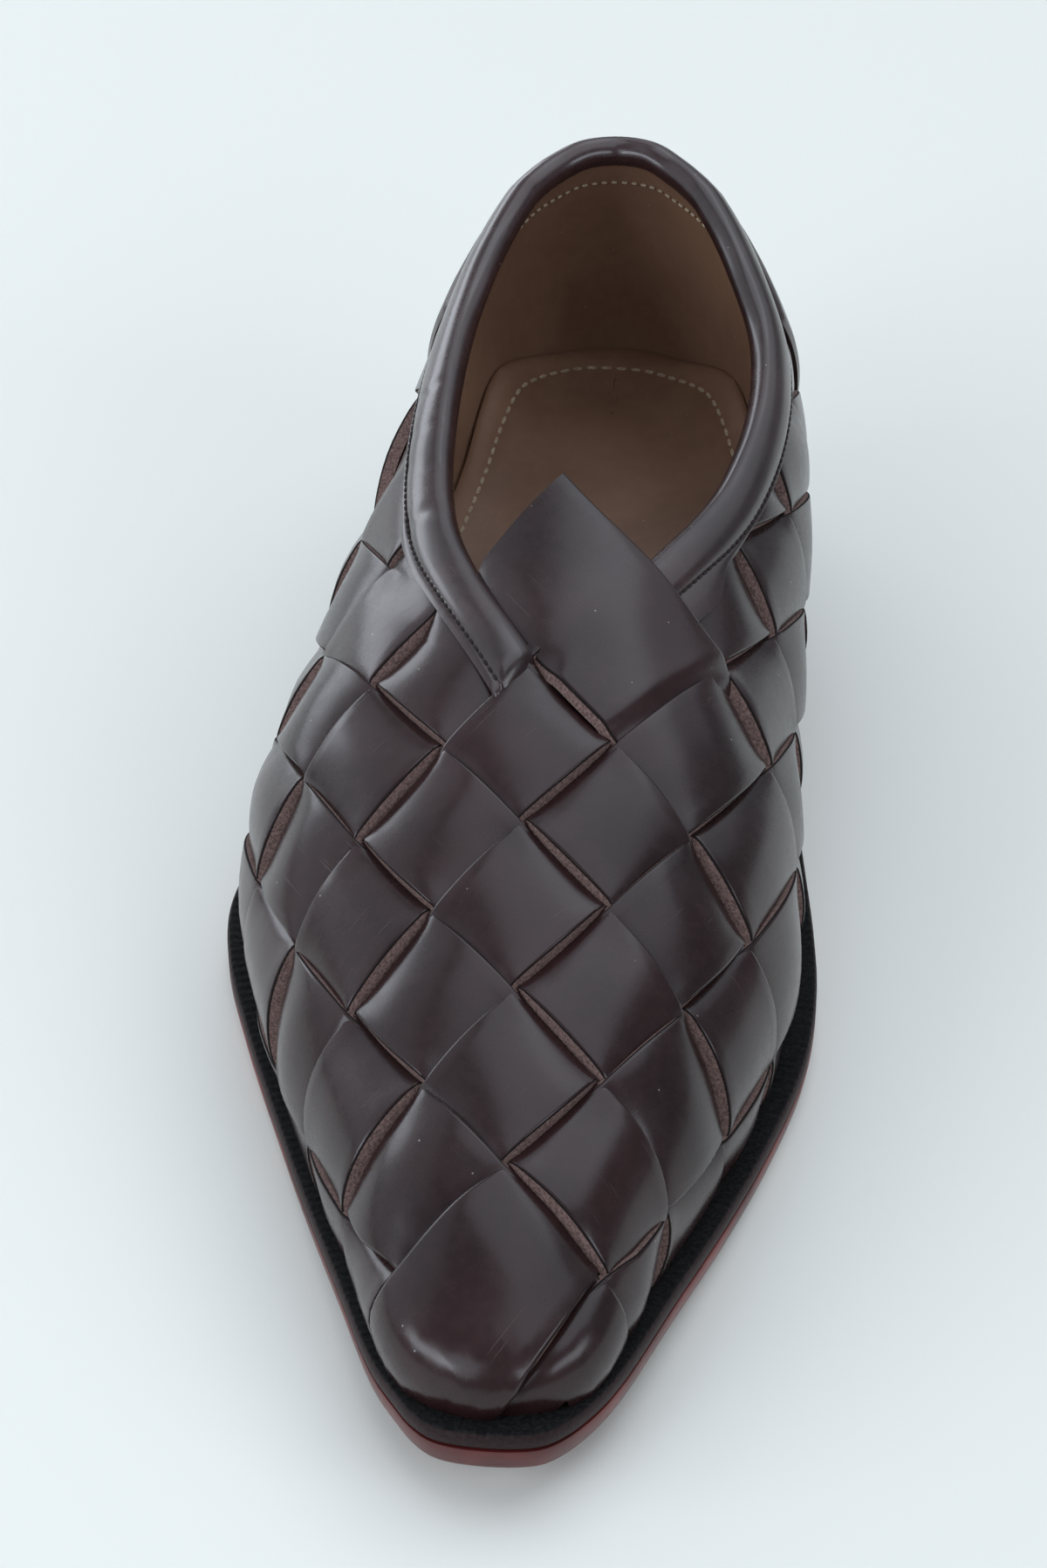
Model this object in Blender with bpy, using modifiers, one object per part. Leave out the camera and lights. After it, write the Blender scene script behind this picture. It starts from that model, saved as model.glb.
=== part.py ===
import math

import bmesh
import bpy
import numpy as np

# A right shoe. Sizes are in millimetres: y runs from the toe of the sole to the heel,
# lateral is -x, medial is +x, and z is the height over the floor.
MM = 0.001
NAME = "jutti"
GAP = 0.3              # clear space between neighbouring pieces
OUTSOLE_THICK = 3.9
WELT_THICK = 3.0
INSOLE_THICK = 2.6
INSOLE_CLEAR = 1.1     # the inner wall leans in this much at the insole
SOLE_TAPER = 0.7       # the outsole's lower edge is this much smaller
HEEL_BREAST = 224.0    # y of the heel's front face
HEEL_TAPER = 1.6
WALL = 1.8             # woven wall under the lowest strip
RELIEF = 1.2           # rise of a strip where it passes over
COUNTER_THICK = 1.3
COUNTER_FRONT = 236.0  # y of the counter's front edge at the collar
COUNTER_LEAD = 8.0     # the wall is smooth from this far ahead of the counter
BAND_WIDTH = 8.5
BAND_RIM = 2.0         # the wall stops this far below the band's top
TAB_THICK = 2.0
TAB_LIFT = 2.1         # the tab's rise over the collar band
TAB_RAMP = 0.22        # share of the tab's length in which it rises
TAB_BEND = 0.4         # share of its width in which it bends down to the lateral side
SPINE_TOE = 30.0       # y where the toe's rounding starts
SPINE_HEEL = 264.0     # y where the heel's rounding starts
SEAM_END = 14.0        # the drawn skin runs this far past the welt before it is cut
NORMAL_STEP = 0.25
FAR = 120.0            # reach of the cutting bodies
CUT_DEPTH = 9.0        # the collar's cut starts this far under the skin
CUT_HEIGHT = 6.0       # and leaves the skin square up to here
COLLAR_THIN = 5        # every fifth collar point is enough for cuts and distances

# Sections of the last's skin: half widths at the widest level, height and place of the
# ridge, rise of the widest level over the welt, and how far the wall tucks in below it
LAST_COLUMNS = ("y", "lateral", "medial", "ridge", "ridge_x", "rise", "tuck")
LAST = (
    (4.8, 0.0, 0.0, 28.0, 1.6, 5.0, 0.8),
    (7.8, 9.4, 10.2, 29.2, 1.7, 5.2, 1.0),
    (12.6, 14.2, 15.1, 31.0, 1.8, 5.6, 1.2),
    (23.0, 19.4, 19.4, 34.4, 1.8, 6.4, 1.5),
    (38.4, 26.3, 24.3, 39.2, 1.7, 8.0, 1.8),
    (60.0, 35.4, 31.9, 45.7, 1.2, 9.5, 2.0),
    (79.0, 42.9, 37.7, 51.6, 0.6, 10.5, 2.1),
    (99.0, 49.6, 41.6, 58.5, 0.1, 11.0, 2.3),
    (117.0, 53.8, 42.5, 64.6, 0.0, 11.5, 2.7),
    (131.5, 54.6, 41.8, 68.5, -0.5, 12.5, 3.2),
    (150.0, 51.3, 40.6, 71.0, -1.5, 14.0, 4.0),
    (170.0, 47.2, 40.2, 74.4, -0.5, 16.0, 4.6),
    (195.0, 43.2, 39.8, 79.4, 1.6, 18.0, 4.8),
    (215.0, 39.2, 39.0, 83.2, 2.0, 18.8, 4.8),
    (235.0, 35.6, 36.4, 86.4, 0.8, 19.0, 4.5),
    (250.0, 33.0, 32.6, 88.4, -0.6, 19.0, 4.2),
    (265.0, 28.6, 26.4, 90.0, -1.6, 18.5, 3.8),
    (277.0, 21.8, 18.2, 91.0, -2.0, 18.0, 3.4),
    (285.6, 12.8, 9.0, 92.0, -2.0, 17.5, 3.2),
    (288.9, 0.0, 0.0, 92.5, -2.0, 17.0, 3.0),
)

# Outline of the sole at the welt: y, lateral and medial half width
SOLE = (
    (0.0, 0.0, 0.0),
    (1.2, 7.2, 8.6),
    (4.0, 10.8, 12.0),
    (9.8, 14.8, 15.9),
    (17.0, 18.9, 19.2),
    (38.6, 27.5, 26.3),
    (60.0, 36.0, 33.6),
    (79.4, 43.3, 39.4),
    (99.4, 50.7, 44.0),
    (117.3, 56.3, 45.0),
    (131.0, 58.0, 44.0),
    (150.0, 53.5, 41.2),
    (172.0, 46.5, 37.6),
    (195.0, 40.5, 36.2),
    (215.0, 36.8, 36.2),
    (235.0, 34.4, 35.4),
    (250.0, 32.6, 32.4),
    (265.0, 28.8, 27.0),
    (277.0, 22.2, 19.2),
    (286.0, 13.2, 9.8),
    (289.6, 0.0, 0.0),
)

# Top edge of the collar band seen from above: y, lateral and medial half width
COLLAR = (
    (126.8, 0.0, 0.0),
    (128.2, 4.4, -1.4),
    (132.0, 7.0, 0.9),
    (140.0, 11.6, 5.6),
    (150.0, 16.4, 11.0),
    (160.0, 20.4, 16.0),
    (170.0, 23.0, 20.6),
    (182.0, 24.8, 24.8),
    (200.0, 26.0, 28.4),
    (216.0, 26.4, 29.4),
    (230.0, 26.0, 28.2),
    (243.0, 24.2, 24.0),
    (256.0, 21.0, 19.2),
    (266.0, 16.8, 13.8),
    (274.5, 10.6, 6.8),
    (279.5, 0.0, 0.0),
)

# Underside of the outsole, y and height: toe spring, flat tread, arch and heel seat
UNDER = (
    (0.0, 8.4),
    (15.0, 6.1),
    (30.0, 4.2),
    (50.0, 2.1),
    (70.0, 0.7),
    (85.0, 0.0),
    (110.0, 0.0),
    (130.0, 1.2),
    (160.0, 6.5),
    (190.0, 14.0),
    (215.0, 18.6),
    (240.0, 21.0),
    (300.0, 22.5),
)

# The weave on the unrolled skin: one lattice corner, the two strip directions
# (one strip width each) and how the rows bow back towards the sides
WEAVE_CORNER = (-1.4, 6.0)
WEAVE_RIGHT = (14.1, 16.5)
WEAVE_LEFT = (-14.9, 14.1)
WEAVE_BOW = 0.0055
WEAVE_CELLS = range(-5, 18)
WEAVE_CUTS = {
    "toe": (0.0, 0.06, 0.35, 0.65, 0.94),
    "side": (0.0, 0.07, 0.5, 0.93),
    "heel": (0.0, 0.5),
}
WEAVE_TOE_CELL = 1     # last strip with the toe's finer steps
WEAVE_HEEL_CELL = 8    # first strip of the plain heel
WEAVE_BLUR = 0.03

# Corners of the throat tab on the unrolled skin, along the skin and across
TAB_CORNERS = {"bottom": (11.5, 84.5), "right": (30.0, 111.0),
               "left": (-12.4, 120.5), "top": (-1.2, 143.0)}
TAB_ROWS = 9
TAB_COLUMNS = 6

# The folded band's section: distance below its top, height over the skin
BAND_SECTION = (
    (8.5, 0.5),
    (8.5, 1.6),
    (5.0, 2.0),
    (1.6, 1.8),
    (0.3, 0.6),
    (-0.2, -1.6),
    (0.3, -3.6),
    (1.6, -4.9),
    (5.5, -4.9),
    (5.5, -3.8),
    (1.6, -3.8),
    (1.6, 0.5),
)
BAND_STATIONS = 60
BAND_LATERAL_START = 3.0
BAND_MEDIAL_END = 17.0
COUNTER_ROWS = 8
COUNTER_STATIONS = 28
COUNTER_FOOT = 0.965   # share of the way down to the welt
SOLE_STATIONS = 44
LOOP_POINTS = 720
SKIN_SAMPLES = 40

COLOURS = {
    "outsole": (0.19, 0.035, 0.028),
    "welt": (0.012, 0.012, 0.012),
    "heel": (0.05, 0.018, 0.015),
    "upper": (0.035, 0.022, 0.020),
    "counter": (0.030, 0.018, 0.017),
    "collar_band": (0.038, 0.025, 0.024),
    "throat_tab": (0.038, 0.024, 0.022),
    "insole": (0.11, 0.055, 0.032),
}
ROUGHNESS = {"outsole": 0.45, "welt": 0.8, "heel": 0.5, "insole": 0.6}
LEATHER_ROUGHNESS = 0.38


def hermite(xs, ys, x):
    # smooth curve through the rows of a table
    xs = np.asarray(xs, float)
    ys = np.asarray(ys, float)
    slope = np.gradient(ys, xs)
    x = np.clip(x, xs[0], xs[-1])
    low = np.clip(np.searchsorted(xs, x) - 1, 0, len(xs) - 2)
    span = xs[low + 1] - xs[low]
    t = (x - xs[low]) / span
    start = ys[low] * (1 + 2 * t) * (1 - t) ** 2 + slope[low] * span * t * (1 - t) ** 2
    end = ys[low + 1] * t * t * (3 - 2 * t) + slope[low + 1] * span * t * t * (t - 1)
    return start + end


def plan_rows(rows):
    return [row[:3] for row in rows]


def plan_loop(rows):
    # closed plan curve from rows of y, lateral and medial, first and last row are the tips
    inner = rows[1:-1]
    points = [((inner[0][2] - inner[0][1]) / 2, rows[0][0])]
    points += [(medial, y) for y, lateral, medial in plan_rows(inner)]
    points += [((inner[-1][2] - inner[-1][1]) / 2, rows[-1][0])]
    points += [(-lateral, y) for y, lateral, medial in plan_rows(reversed(inner))]
    points = np.array(points)
    wrapped = np.vstack([points[-3:], points, points[:4]])
    run = np.sqrt(np.linalg.norm(np.diff(wrapped, axis=0), axis=1))
    run = np.concatenate([[0.0], np.cumsum(run)])
    at = np.linspace(run[3], run[3 + len(points)], LOOP_POINTS, endpoint=False)
    return np.stack([hermite(run, wrapped[:, 0], at), hermite(run, wrapped[:, 1], at)], axis=1)


def last_value(name, y):
    column = LAST_COLUMNS.index(name)
    return hermite([row[0] for row in LAST], [row[column] for row in LAST], y)


def ease(share):
    # smooth step from 0 to 1
    share = np.clip(share, 0.0, 1.0)
    return share * share * (3 - 2 * share)


def underside(y):
    return np.maximum(hermite([row[0] for row in UNDER], [row[1] for row in UNDER], y), 0.0)


def welt_top(y):
    return underside(y) + OUTSOLE_THICK + GAP + WELT_THICK


def side_reach(loop, y, side):
    half = loop[loop[:, 0] * side > 0]
    half = half[np.argsort(half[:, 1])]
    return np.interp(y, half[:, 1], half[:, 0])


def polar(loop, centre, forward):
    step = loop - np.array(centre)
    angle = np.arctan2(step[:, 0], step[:, 1] * forward)
    order = np.argsort(angle)
    return angle[order], np.hypot(step[:, 0], step[:, 1])[order]


LAST_LOOP = plan_loop(LAST)
SOLE_LOOP = plan_loop(SOLE)
TOE = (float(last_value("ridge_x", SPINE_TOE)), SPINE_TOE)
HEEL = (float(last_value("ridge_x", SPINE_HEEL)), SPINE_HEEL)
TOE_REACH = polar(LAST_LOOP, TOE, -1.0)
HEEL_REACH = polar(LAST_LOOP, HEEL, 1.0)
RIDGE_Y = np.linspace(SPINE_TOE, SPINE_HEEL, LOOP_POINTS)
RIDGE_RISE = np.hypot(np.diff(RIDGE_Y), np.diff(last_value("ridge", RIDGE_Y)))
RIDGE_RUN = np.concatenate([[0.0], np.cumsum(RIDGE_RISE)])
RIDGE_LENGTH = RIDGE_RUN[-1]
SHARE = np.concatenate([np.linspace(0.0, 1.0, SKIN_SAMPLES),
                        np.linspace(1.0, 2.0, SKIN_SAMPLES // 2)[1:]])


def ray_reach(y, x_way, y_way, over):
    # plan distance from the spine to the last's widest outline along each ray
    centre = last_value("ridge_x", y)
    outline = np.where(x_way >= 0, side_reach(LAST_LOOP, y, 1), side_reach(LAST_LOOP, y, -1))
    side = np.abs(outline - centre)
    toe = np.interp(np.arctan2(x_way, -y_way), *TOE_REACH)
    heel = np.interp(np.arctan2(x_way, y_way), *HEEL_REACH)
    return np.where(over < 0, toe, np.where(over > 0, heel, side))


def ray_profile(y, x_way, y_way, over):
    # the skin along each ray, from the ridge over the widest level down to the welt
    reach = ray_reach(y, x_way, y_way, over)[:, None]
    centre = last_value("ridge_x", y)[:, None]
    y_foot = y[:, None] + y_way[:, None] * reach
    crown = np.minimum(SHARE, 1.0)[None, :] * math.pi / 2
    fall = np.maximum(SHARE - 1.0, 0.0)[None, :]
    out = np.where(SHARE[None, :] <= 1.0, reach * np.sin(crown),
                   reach - last_value("tuck", y_foot) * fall ** 2)
    x = centre + x_way[:, None] * out
    y = y[:, None] + y_way[:, None] * out
    level = welt_top(y) + last_value("rise", y)
    z = np.where(SHARE[None, :] <= 1.0, level + (last_value("ridge", y) - level) * np.cos(crown),
                 level - last_value("rise", y) * fall)
    return np.stack([x, y, z], axis=2)


def skin(across, along):
    # point of the skin for a point of the unrolled plane, and its share of the way to the welt
    across = np.ravel(np.asarray(across, float))
    along = np.ravel(np.asarray(along, float))
    y = np.interp(along, RIDGE_RUN, RIDGE_Y)
    over = np.where(along < 0, along, np.where(along > RIDGE_LENGTH, along - RIDGE_LENGTH, 0.0))
    run = np.hypot(across, over)
    safe = np.maximum(run, 1e-9)
    x_way = np.where(run > 1e-9, across / safe, 1.0)
    lines = ray_profile(y, x_way, over / safe, over)
    steps = np.linalg.norm(np.diff(lines, axis=1), axis=2)
    lengths = np.concatenate([np.zeros((len(lines), 1)), np.cumsum(steps, axis=1)], axis=1)
    points = np.empty((len(lines), 3))
    for k, (line, length) in enumerate(zip(lines, lengths)):
        for axis in range(3):
            points[k, axis] = np.interp(run[k], length, line[:, axis])
    past = np.maximum(run - lengths[:, -1], 0.0)[:, None]
    last_step = (lines[:, -1] - lines[:, -2]) / steps[:, -1:]
    return points + last_step * past, run - lengths[:, -1], run / lengths[:, -1]


def skin_offset(across, along, height):
    # points of the skin moved along its outward normal
    across = np.ravel(np.asarray(across, float))
    along = np.ravel(np.asarray(along, float))
    step = NORMAL_STEP
    by_across = skin(across + step, along)[0] - skin(across - step, along)[0]
    by_along = skin(across, along + step)[0] - skin(across, along - step)[0]
    normal = np.cross(by_across, by_along)
    normal /= np.linalg.norm(normal, axis=1)[:, None]
    return skin(across, along)[0] + normal * np.ravel(height)[:, None]


def unroll(plan):
    # unrolled point of a plan point that lies inside the last's outline
    x, y = plan[:, 0], plan[:, 1]
    at = np.clip(y, SPINE_TOE, SPINE_HEEL)
    over = y - at
    centre = last_value("ridge_x", at)
    run = np.hypot(x - centre, over)
    x_way, y_way = (x - centre) / run, over / run
    lines = ray_profile(at, x_way, y_way, over)
    steps = np.linalg.norm(np.diff(lines, axis=1), axis=2)
    lengths = np.concatenate([np.zeros((len(lines), 1)), np.cumsum(steps, axis=1)], axis=1)
    outs = np.hypot(lines[:, :, 0] - centre[:, None], lines[:, :, 1] - at[:, None])
    arc = np.array([np.interp(r, out[:SKIN_SAMPLES], length[:SKIN_SAMPLES])
                    for r, out, length in zip(run, outs, lengths)])
    return np.stack([x_way * arc, np.interp(at, RIDGE_Y, RIDGE_RUN) + y_way * arc], axis=1)


def collar_frame():
    # the collar on the unrolled skin, tip of the throat first, and the way out of the opening
    plan = plan_loop(COLLAR)
    line = unroll(np.vstack([plan[:1], plan[:0:-1]]))
    tangent = np.roll(line, -1, axis=0) - np.roll(line, 1, axis=0)
    tangent /= np.linalg.norm(tangent, axis=1)[:, None]
    outward = np.stack([tangent[:, 1], -tangent[:, 0]], axis=1)
    outward *= np.sign(np.sum(outward * (line - line.mean(axis=0)), axis=1)).mean()
    return line, outward / np.linalg.norm(outward, axis=1)[:, None], np.vstack([plan[:1], plan[:0:-1]])


COLLAR_LINE, COLLAR_OUT, COLLAR_PLAN = collar_frame()
COLLAR_RUN = np.concatenate([[0.0], np.cumsum(np.linalg.norm(np.diff(COLLAR_LINE, axis=0), axis=1))])


def in_metres(points):
    return [tuple(point) for point in np.asarray(points, float) * MM]


def make_object(name, mesh, collection):
    made = bpy.data.objects.new(name, mesh)
    collection.objects.link(made)
    return made


def mesh_from(name, points, faces):
    # merged mesh with its faces outwards
    mesh = bpy.data.meshes.new(name)
    mesh.from_pydata(in_metres(points), [], faces)
    work = bmesh.new()
    work.from_mesh(mesh)
    bmesh.ops.remove_doubles(work, verts=work.verts, dist=1e-6)
    bmesh.ops.recalc_face_normals(work, faces=work.faces)
    work.to_mesh(mesh)
    work.free()
    return mesh


def set_material(made, colour, roughness):
    material = bpy.data.materials.new(made.name)
    material.use_nodes = True
    shader = material.node_tree.nodes["Principled BSDF"]
    shader.inputs["Base Color"].default_value = (*colour, 1.0)
    shader.inputs["Roughness"].default_value = roughness
    made.data.materials.append(material)


def sections_mesh(name, sections, closed=False):
    # loft through rings of equal length, capped at its ends unless it closes on itself
    count, size = len(sections), len(sections[0])
    faces = []
    for k in range(count if closed else count - 1):
        after = (k + 1) % count
        for c in range(size):
            d = (c + 1) % size
            faces.append((k * size + c, k * size + d, after * size + d, after * size + c))
    if not closed:
        faces.append(tuple(range(size)))
        faces.append(tuple((count - 1) * size + c for c in range(size)))
    return mesh_from(name, np.vstack(sections), faces)


def sheet_mesh(name, rows):
    # open surface through rows of equal length
    count, size = len(rows), len(rows[0])
    faces = []
    for k in range(count - 1):
        for c in range(size - 1):
            faces.append((k * size + c, k * size + c + 1, (k + 1) * size + c + 1, (k + 1) * size + c))
    mesh = bpy.data.meshes.new(name)
    mesh.from_pydata(in_metres(np.vstack(rows)), [], faces)
    return mesh


def add_wall(made, thickness):
    shell = made.modifiers.new("wall", "SOLIDIFY")
    shell.thickness = thickness * MM
    shell.offset = 1.0
    return shell


def add_cut(made, cutter):
    cut = made.modifiers.new(cutter.name, "BOOLEAN")
    cut.operation = "DIFFERENCE"
    cut.object = cutter
    cut.solver = "EXACT"


def layer_stations(start, end):
    # stations close together at the rounded ends
    turn = np.linspace(0.0, math.pi, SOLE_STATIONS)
    return start + (end - start) * (1 - np.cos(turn)) / 2


def layer_mesh(name, loop, stations, low, high, inset_low, inset_high):
    # plate between two heights inside a plan outline, one four-cornered section a station
    rings = []
    for y in stations:
        left, right = side_reach(loop, y, -1), side_reach(loop, y, 1)
        base, top = float(low(y)), float(high(y))
        rings.append(np.array([(left + inset_low, y, base), (right - inset_low, y, base),
                               (right - inset_high, y, top), (left + inset_high, y, top)]))
    return sections_mesh(name, rings)


def sole_span(loop, trim):
    return loop[:, 1].min() + trim, loop[:, 1].max() - trim


def outsole_top(y):
    return underside(y) + OUTSOLE_THICK


def insole_outline():
    # the wall's inner face just over the welt, seen from above
    centre_y = np.linspace(SPINE_TOE, SPINE_HEEL, SOLE_STATIONS)
    turn = np.linspace(-math.pi / 2, math.pi / 2, SOLE_STATIONS)
    rays = [(y, 1.0, 0.0, 0.0) for y in centre_y]
    rays += [(SPINE_HEEL, math.sin(-a), math.cos(a), 1.0) for a in turn[1:-1]]
    rays += [(y, -1.0, 0.0, 0.0) for y in centre_y[::-1]]
    rays += [(SPINE_TOE, math.sin(a), -math.cos(a), -1.0) for a in turn[1:-1]]
    rays = np.array(rays)
    reach = ray_reach(*rays.T)
    y_foot = rays[:, 0] + rays[:, 2] * reach
    reach = reach - last_value("tuck", y_foot) - WALL - RELIEF - INSOLE_CLEAR
    centre = last_value("ridge_x", rays[:, 0])
    return np.stack([centre + rays[:, 1] * reach, rays[:, 0] + rays[:, 2] * reach], axis=1)


def strip_height(right, left):
    # height share of the weave at a lattice point: the over strip arches between its two ends
    cell_right, cell_left = np.floor(right), np.floor(left)
    rightward = (cell_right + cell_left) % 2 == 0
    run = np.where(rightward, right - cell_right, left - cell_left)
    return 1.0 - (2.0 * run - 1.0) ** 2


def weave_point(right, left):
    across = WEAVE_CORNER[0] + right * WEAVE_RIGHT[0] + left * WEAVE_LEFT[0]
    along = WEAVE_CORNER[1] + right * WEAVE_RIGHT[1] + left * WEAVE_LEFT[1]
    return across, along + WEAVE_BOW * across ** 2


def opening_depth(across, along):
    # distance into the collar's opening on the unrolled skin, negative outside it
    step = np.stack([across, along], axis=1)[:, None, :] - COLLAR_LINE[None, ::COLLAR_THIN, :]
    distance = np.linalg.norm(step, axis=2)
    near = np.argmin(distance, axis=1)
    rows = np.arange(len(near))
    side = np.sum(step[rows, near] * COLLAR_OUT[::COLLAR_THIN][near], axis=1)
    return np.where(side < 0, 1.0, -1.0) * distance[rows, near]


def cell_cuts(cell):
    if cell <= WEAVE_TOE_CELL:
        return WEAVE_CUTS["toe"]
    return WEAVE_CUTS["side"] if cell < WEAVE_HEEL_CELL else WEAVE_CUTS["heel"]


def make_upper(collection, collar_cutter, floor_cutter):
    lines = np.array([cell + cut for cell in WEAVE_CELLS for cut in cell_cuts(cell)])
    count = len(lines)
    right, left = (grid.ravel() for grid in np.meshgrid(lines, lines, indexing="ij"))
    across, along = weave_point(right, left)
    past = skin(across, along)[1]
    depth = opening_depth(across, along)
    wanted = (past < GAP) & (depth < BAND_WIDTH / 2)
    faces = []
    for k in range(count - 1):
        for c in range(count - 1):
            face = (k * count + c, (k + 1) * count + c, (k + 1) * count + c + 1, k * count + c + 1)
            if wanted[list(face)].any() and past[list(face)].max() < SEAM_END:
                faces.append(face)
    used = np.unique(np.array(faces))
    place = {old: new for new, old in enumerate(used)}
    inner = skin_offset(across[used], along[used], np.full(len(used), -(WALL + RELIEF)))
    mesh = bpy.data.meshes.new("upper")
    mesh.from_pydata(in_metres(inner), [], [tuple(place[v] for v in face) for face in faces])
    upper = make_object("upper", mesh, collection)
    blur = [(a, b) for a in (-WEAVE_BLUR, WEAVE_BLUR) for b in (-WEAVE_BLUR, WEAVE_BLUR)]
    height = np.mean([strip_height(right[used] + a, left[used] + b) for a, b in blur], axis=0)
    height = np.where(inner[:, 1] > COUNTER_FRONT - COUNTER_LEAD, 0.0, height)
    group = upper.vertex_groups.new(name="strips")
    for k, share in enumerate(height):
        group.add([k], float(share), "REPLACE")
    shell = add_wall(upper, WALL + RELIEF)
    shell.vertex_group = "strips"
    shell.thickness_vertex_group = WALL / (WALL + RELIEF)
    add_cut(upper, collar_cutter)
    add_cut(upper, floor_cutter)
    return upper


def make_collar_cutter(collection):
    # funnel that leaves the wall's rim square to the skin
    rim = (COLLAR_LINE + COLLAR_OUT * BAND_RIM)[::COLLAR_THIN]
    rings = [skin_offset(rim[:, 0], rim[:, 1], np.full(len(rim), height))
             for height in (-CUT_DEPTH, CUT_HEIGHT)]
    lid = rings[1].copy()
    lid[:, 2] = FAR
    return make_object("collar_cutter", sections_mesh("collar_cutter", [*rings, lid]), collection)


def make_floor_cutter(collection):
    # everything below the welt's top
    rings = []
    for y in np.linspace(-FAR / 4, LAST[-1][0] + FAR / 4, SOLE_STATIONS):
        top = float(welt_top(y)) + GAP
        rings.append(np.array([(-FAR, y, -FAR), (FAR, y, -FAR), (FAR, y, top), (-FAR, y, top)]))
    return make_object("floor_cutter", sections_mesh("floor_cutter", rings), collection)


def collar_stations(start, end, count):
    # collar points and outward directions between two runs along the collar
    at = np.linspace(start, end, count)
    line = np.stack([np.interp(at, COLLAR_RUN, COLLAR_LINE[:, c]) for c in (0, 1)], axis=1)
    out = np.stack([np.interp(at, COLLAR_RUN, COLLAR_OUT[:, c]) for c in (0, 1)], axis=1)
    return line, out / np.linalg.norm(out, axis=1)[:, None]


def make_collar_band(collection):
    line, out = collar_stations(BAND_LATERAL_START, COLLAR_RUN[-1] - BAND_MEDIAL_END, BAND_STATIONS)
    rings = []
    for point, way in zip(line, out):
        down, height = np.array(BAND_SECTION).T
        spots = point + way * down[:, None]
        rings.append(skin_offset(spots[:, 0], spots[:, 1], height))
    return make_object("collar_band", sections_mesh("collar_band", rings), collection)


def make_counter(collection):
    rear = COLLAR_RUN[COLLAR_PLAN[:, 1] > COUNTER_FRONT]
    line, out = collar_stations(rear.min(), rear.max(), COUNTER_STATIONS)
    downs = np.linspace(BAND_WIDTH + GAP, FAR, LOOP_POINTS)
    rows = []
    for point, way in zip(line, out):
        spots = point + way * downs[:, None]
        share = skin(spots[:, 0], spots[:, 1])[2]
        foot = downs[np.argmax(share > COUNTER_FOOT)]
        run = np.linspace(BAND_WIDTH + GAP, foot, COUNTER_ROWS)[:, None]
        spots = point + way * run
        rows.append(skin_offset(spots[:, 0], spots[:, 1], np.full(COUNTER_ROWS, GAP)))
    counter = make_object("counter", sheet_mesh("counter", rows[::-1]), collection)
    add_wall(counter, COUNTER_THICK)
    return counter


def make_throat_tab(collection):
    corner = {name: np.array(place) for name, place in TAB_CORNERS.items()}
    rows = []
    for run in np.linspace(0.0, 1.0, TAB_ROWS):
        start = corner["bottom"] * (1 - run) + corner["left"] * run
        end = corner["right"] * (1 - run) + corner["top"] * run
        share = np.linspace(0.0, 1.0, TAB_COLUMNS)[:, None]
        spots = start * (1 - share) + end * share
        height = GAP + TAB_LIFT * ease(run / TAB_RAMP) * ease(share / TAB_BEND)
        rows.append(skin_offset(spots[:, 0], spots[:, 1], height))
    tab = make_object("throat_tab", sheet_mesh("throat_tab", rows), collection)
    add_wall(tab, TAB_THICK)
    return tab


def centre_on_floor(parts, cutters):
    # the middle of the shoe's box goes to the origin
    bpy.context.view_layer.update()
    graph = bpy.context.evaluated_depsgraph_get()
    corners = np.array([corner for made in parts.objects for corner in made.evaluated_get(graph).bound_box])
    middle = (corners.min(axis=0) + corners.max(axis=0)) / 2
    for made in list(parts.objects) + list(cutters.objects):
        made.location = (-middle[0], -middle[1], 0.0)


def main():
    for old in list(bpy.data.objects):
        bpy.data.objects.remove(old, do_unlink=True)
    parts = bpy.data.collections.new(NAME)
    cutters = bpy.data.collections.new(NAME + "_cutters")
    for collection in (parts, cutters):
        bpy.context.scene.collection.children.link(collection)

    collar_cutter = make_collar_cutter(cutters)
    floor_cutter = make_floor_cutter(cutters)
    for cutter in (collar_cutter, floor_cutter):
        cutter.hide_render = True
        cutter.display_type = "WIRE"

    sole_y = layer_stations(*sole_span(SOLE_LOOP, SOLE_TAPER / 4))
    make_object("outsole", layer_mesh("outsole", SOLE_LOOP, sole_y, underside, outsole_top,
                                      SOLE_TAPER, 0.0), parts)
    make_object("welt", layer_mesh("welt", SOLE_LOOP, sole_y, lambda y: outsole_top(y) + GAP,
                                   welt_top, 0.0, 0.0), parts)
    heel_y = layer_stations(HEEL_BREAST, sole_span(SOLE_LOOP, HEEL_TAPER)[1])
    make_object("heel", layer_mesh("heel", SOLE_LOOP, heel_y, lambda y: 0.0,
                                   lambda y: underside(y) - GAP, HEEL_TAPER, HEEL_TAPER / 4), parts)
    inside = insole_outline()
    make_object("insole", layer_mesh("insole", inside, layer_stations(*sole_span(inside, GAP)),
                                     lambda y: welt_top(y) + GAP,
                                     lambda y: welt_top(y) + GAP + INSOLE_THICK, 0.0, 0.0), parts)
    make_upper(parts, collar_cutter, floor_cutter)
    make_counter(parts)
    make_collar_band(parts)
    make_throat_tab(parts)
    centre_on_floor(parts, cutters)
    for made in parts.objects:
        set_material(made, COLOURS[made.name], ROUGHNESS.get(made.name, LEATHER_ROUGHNESS))


main()
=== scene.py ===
import math

import bpy
import numpy as np
from mathutils import Matrix, Vector


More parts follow.
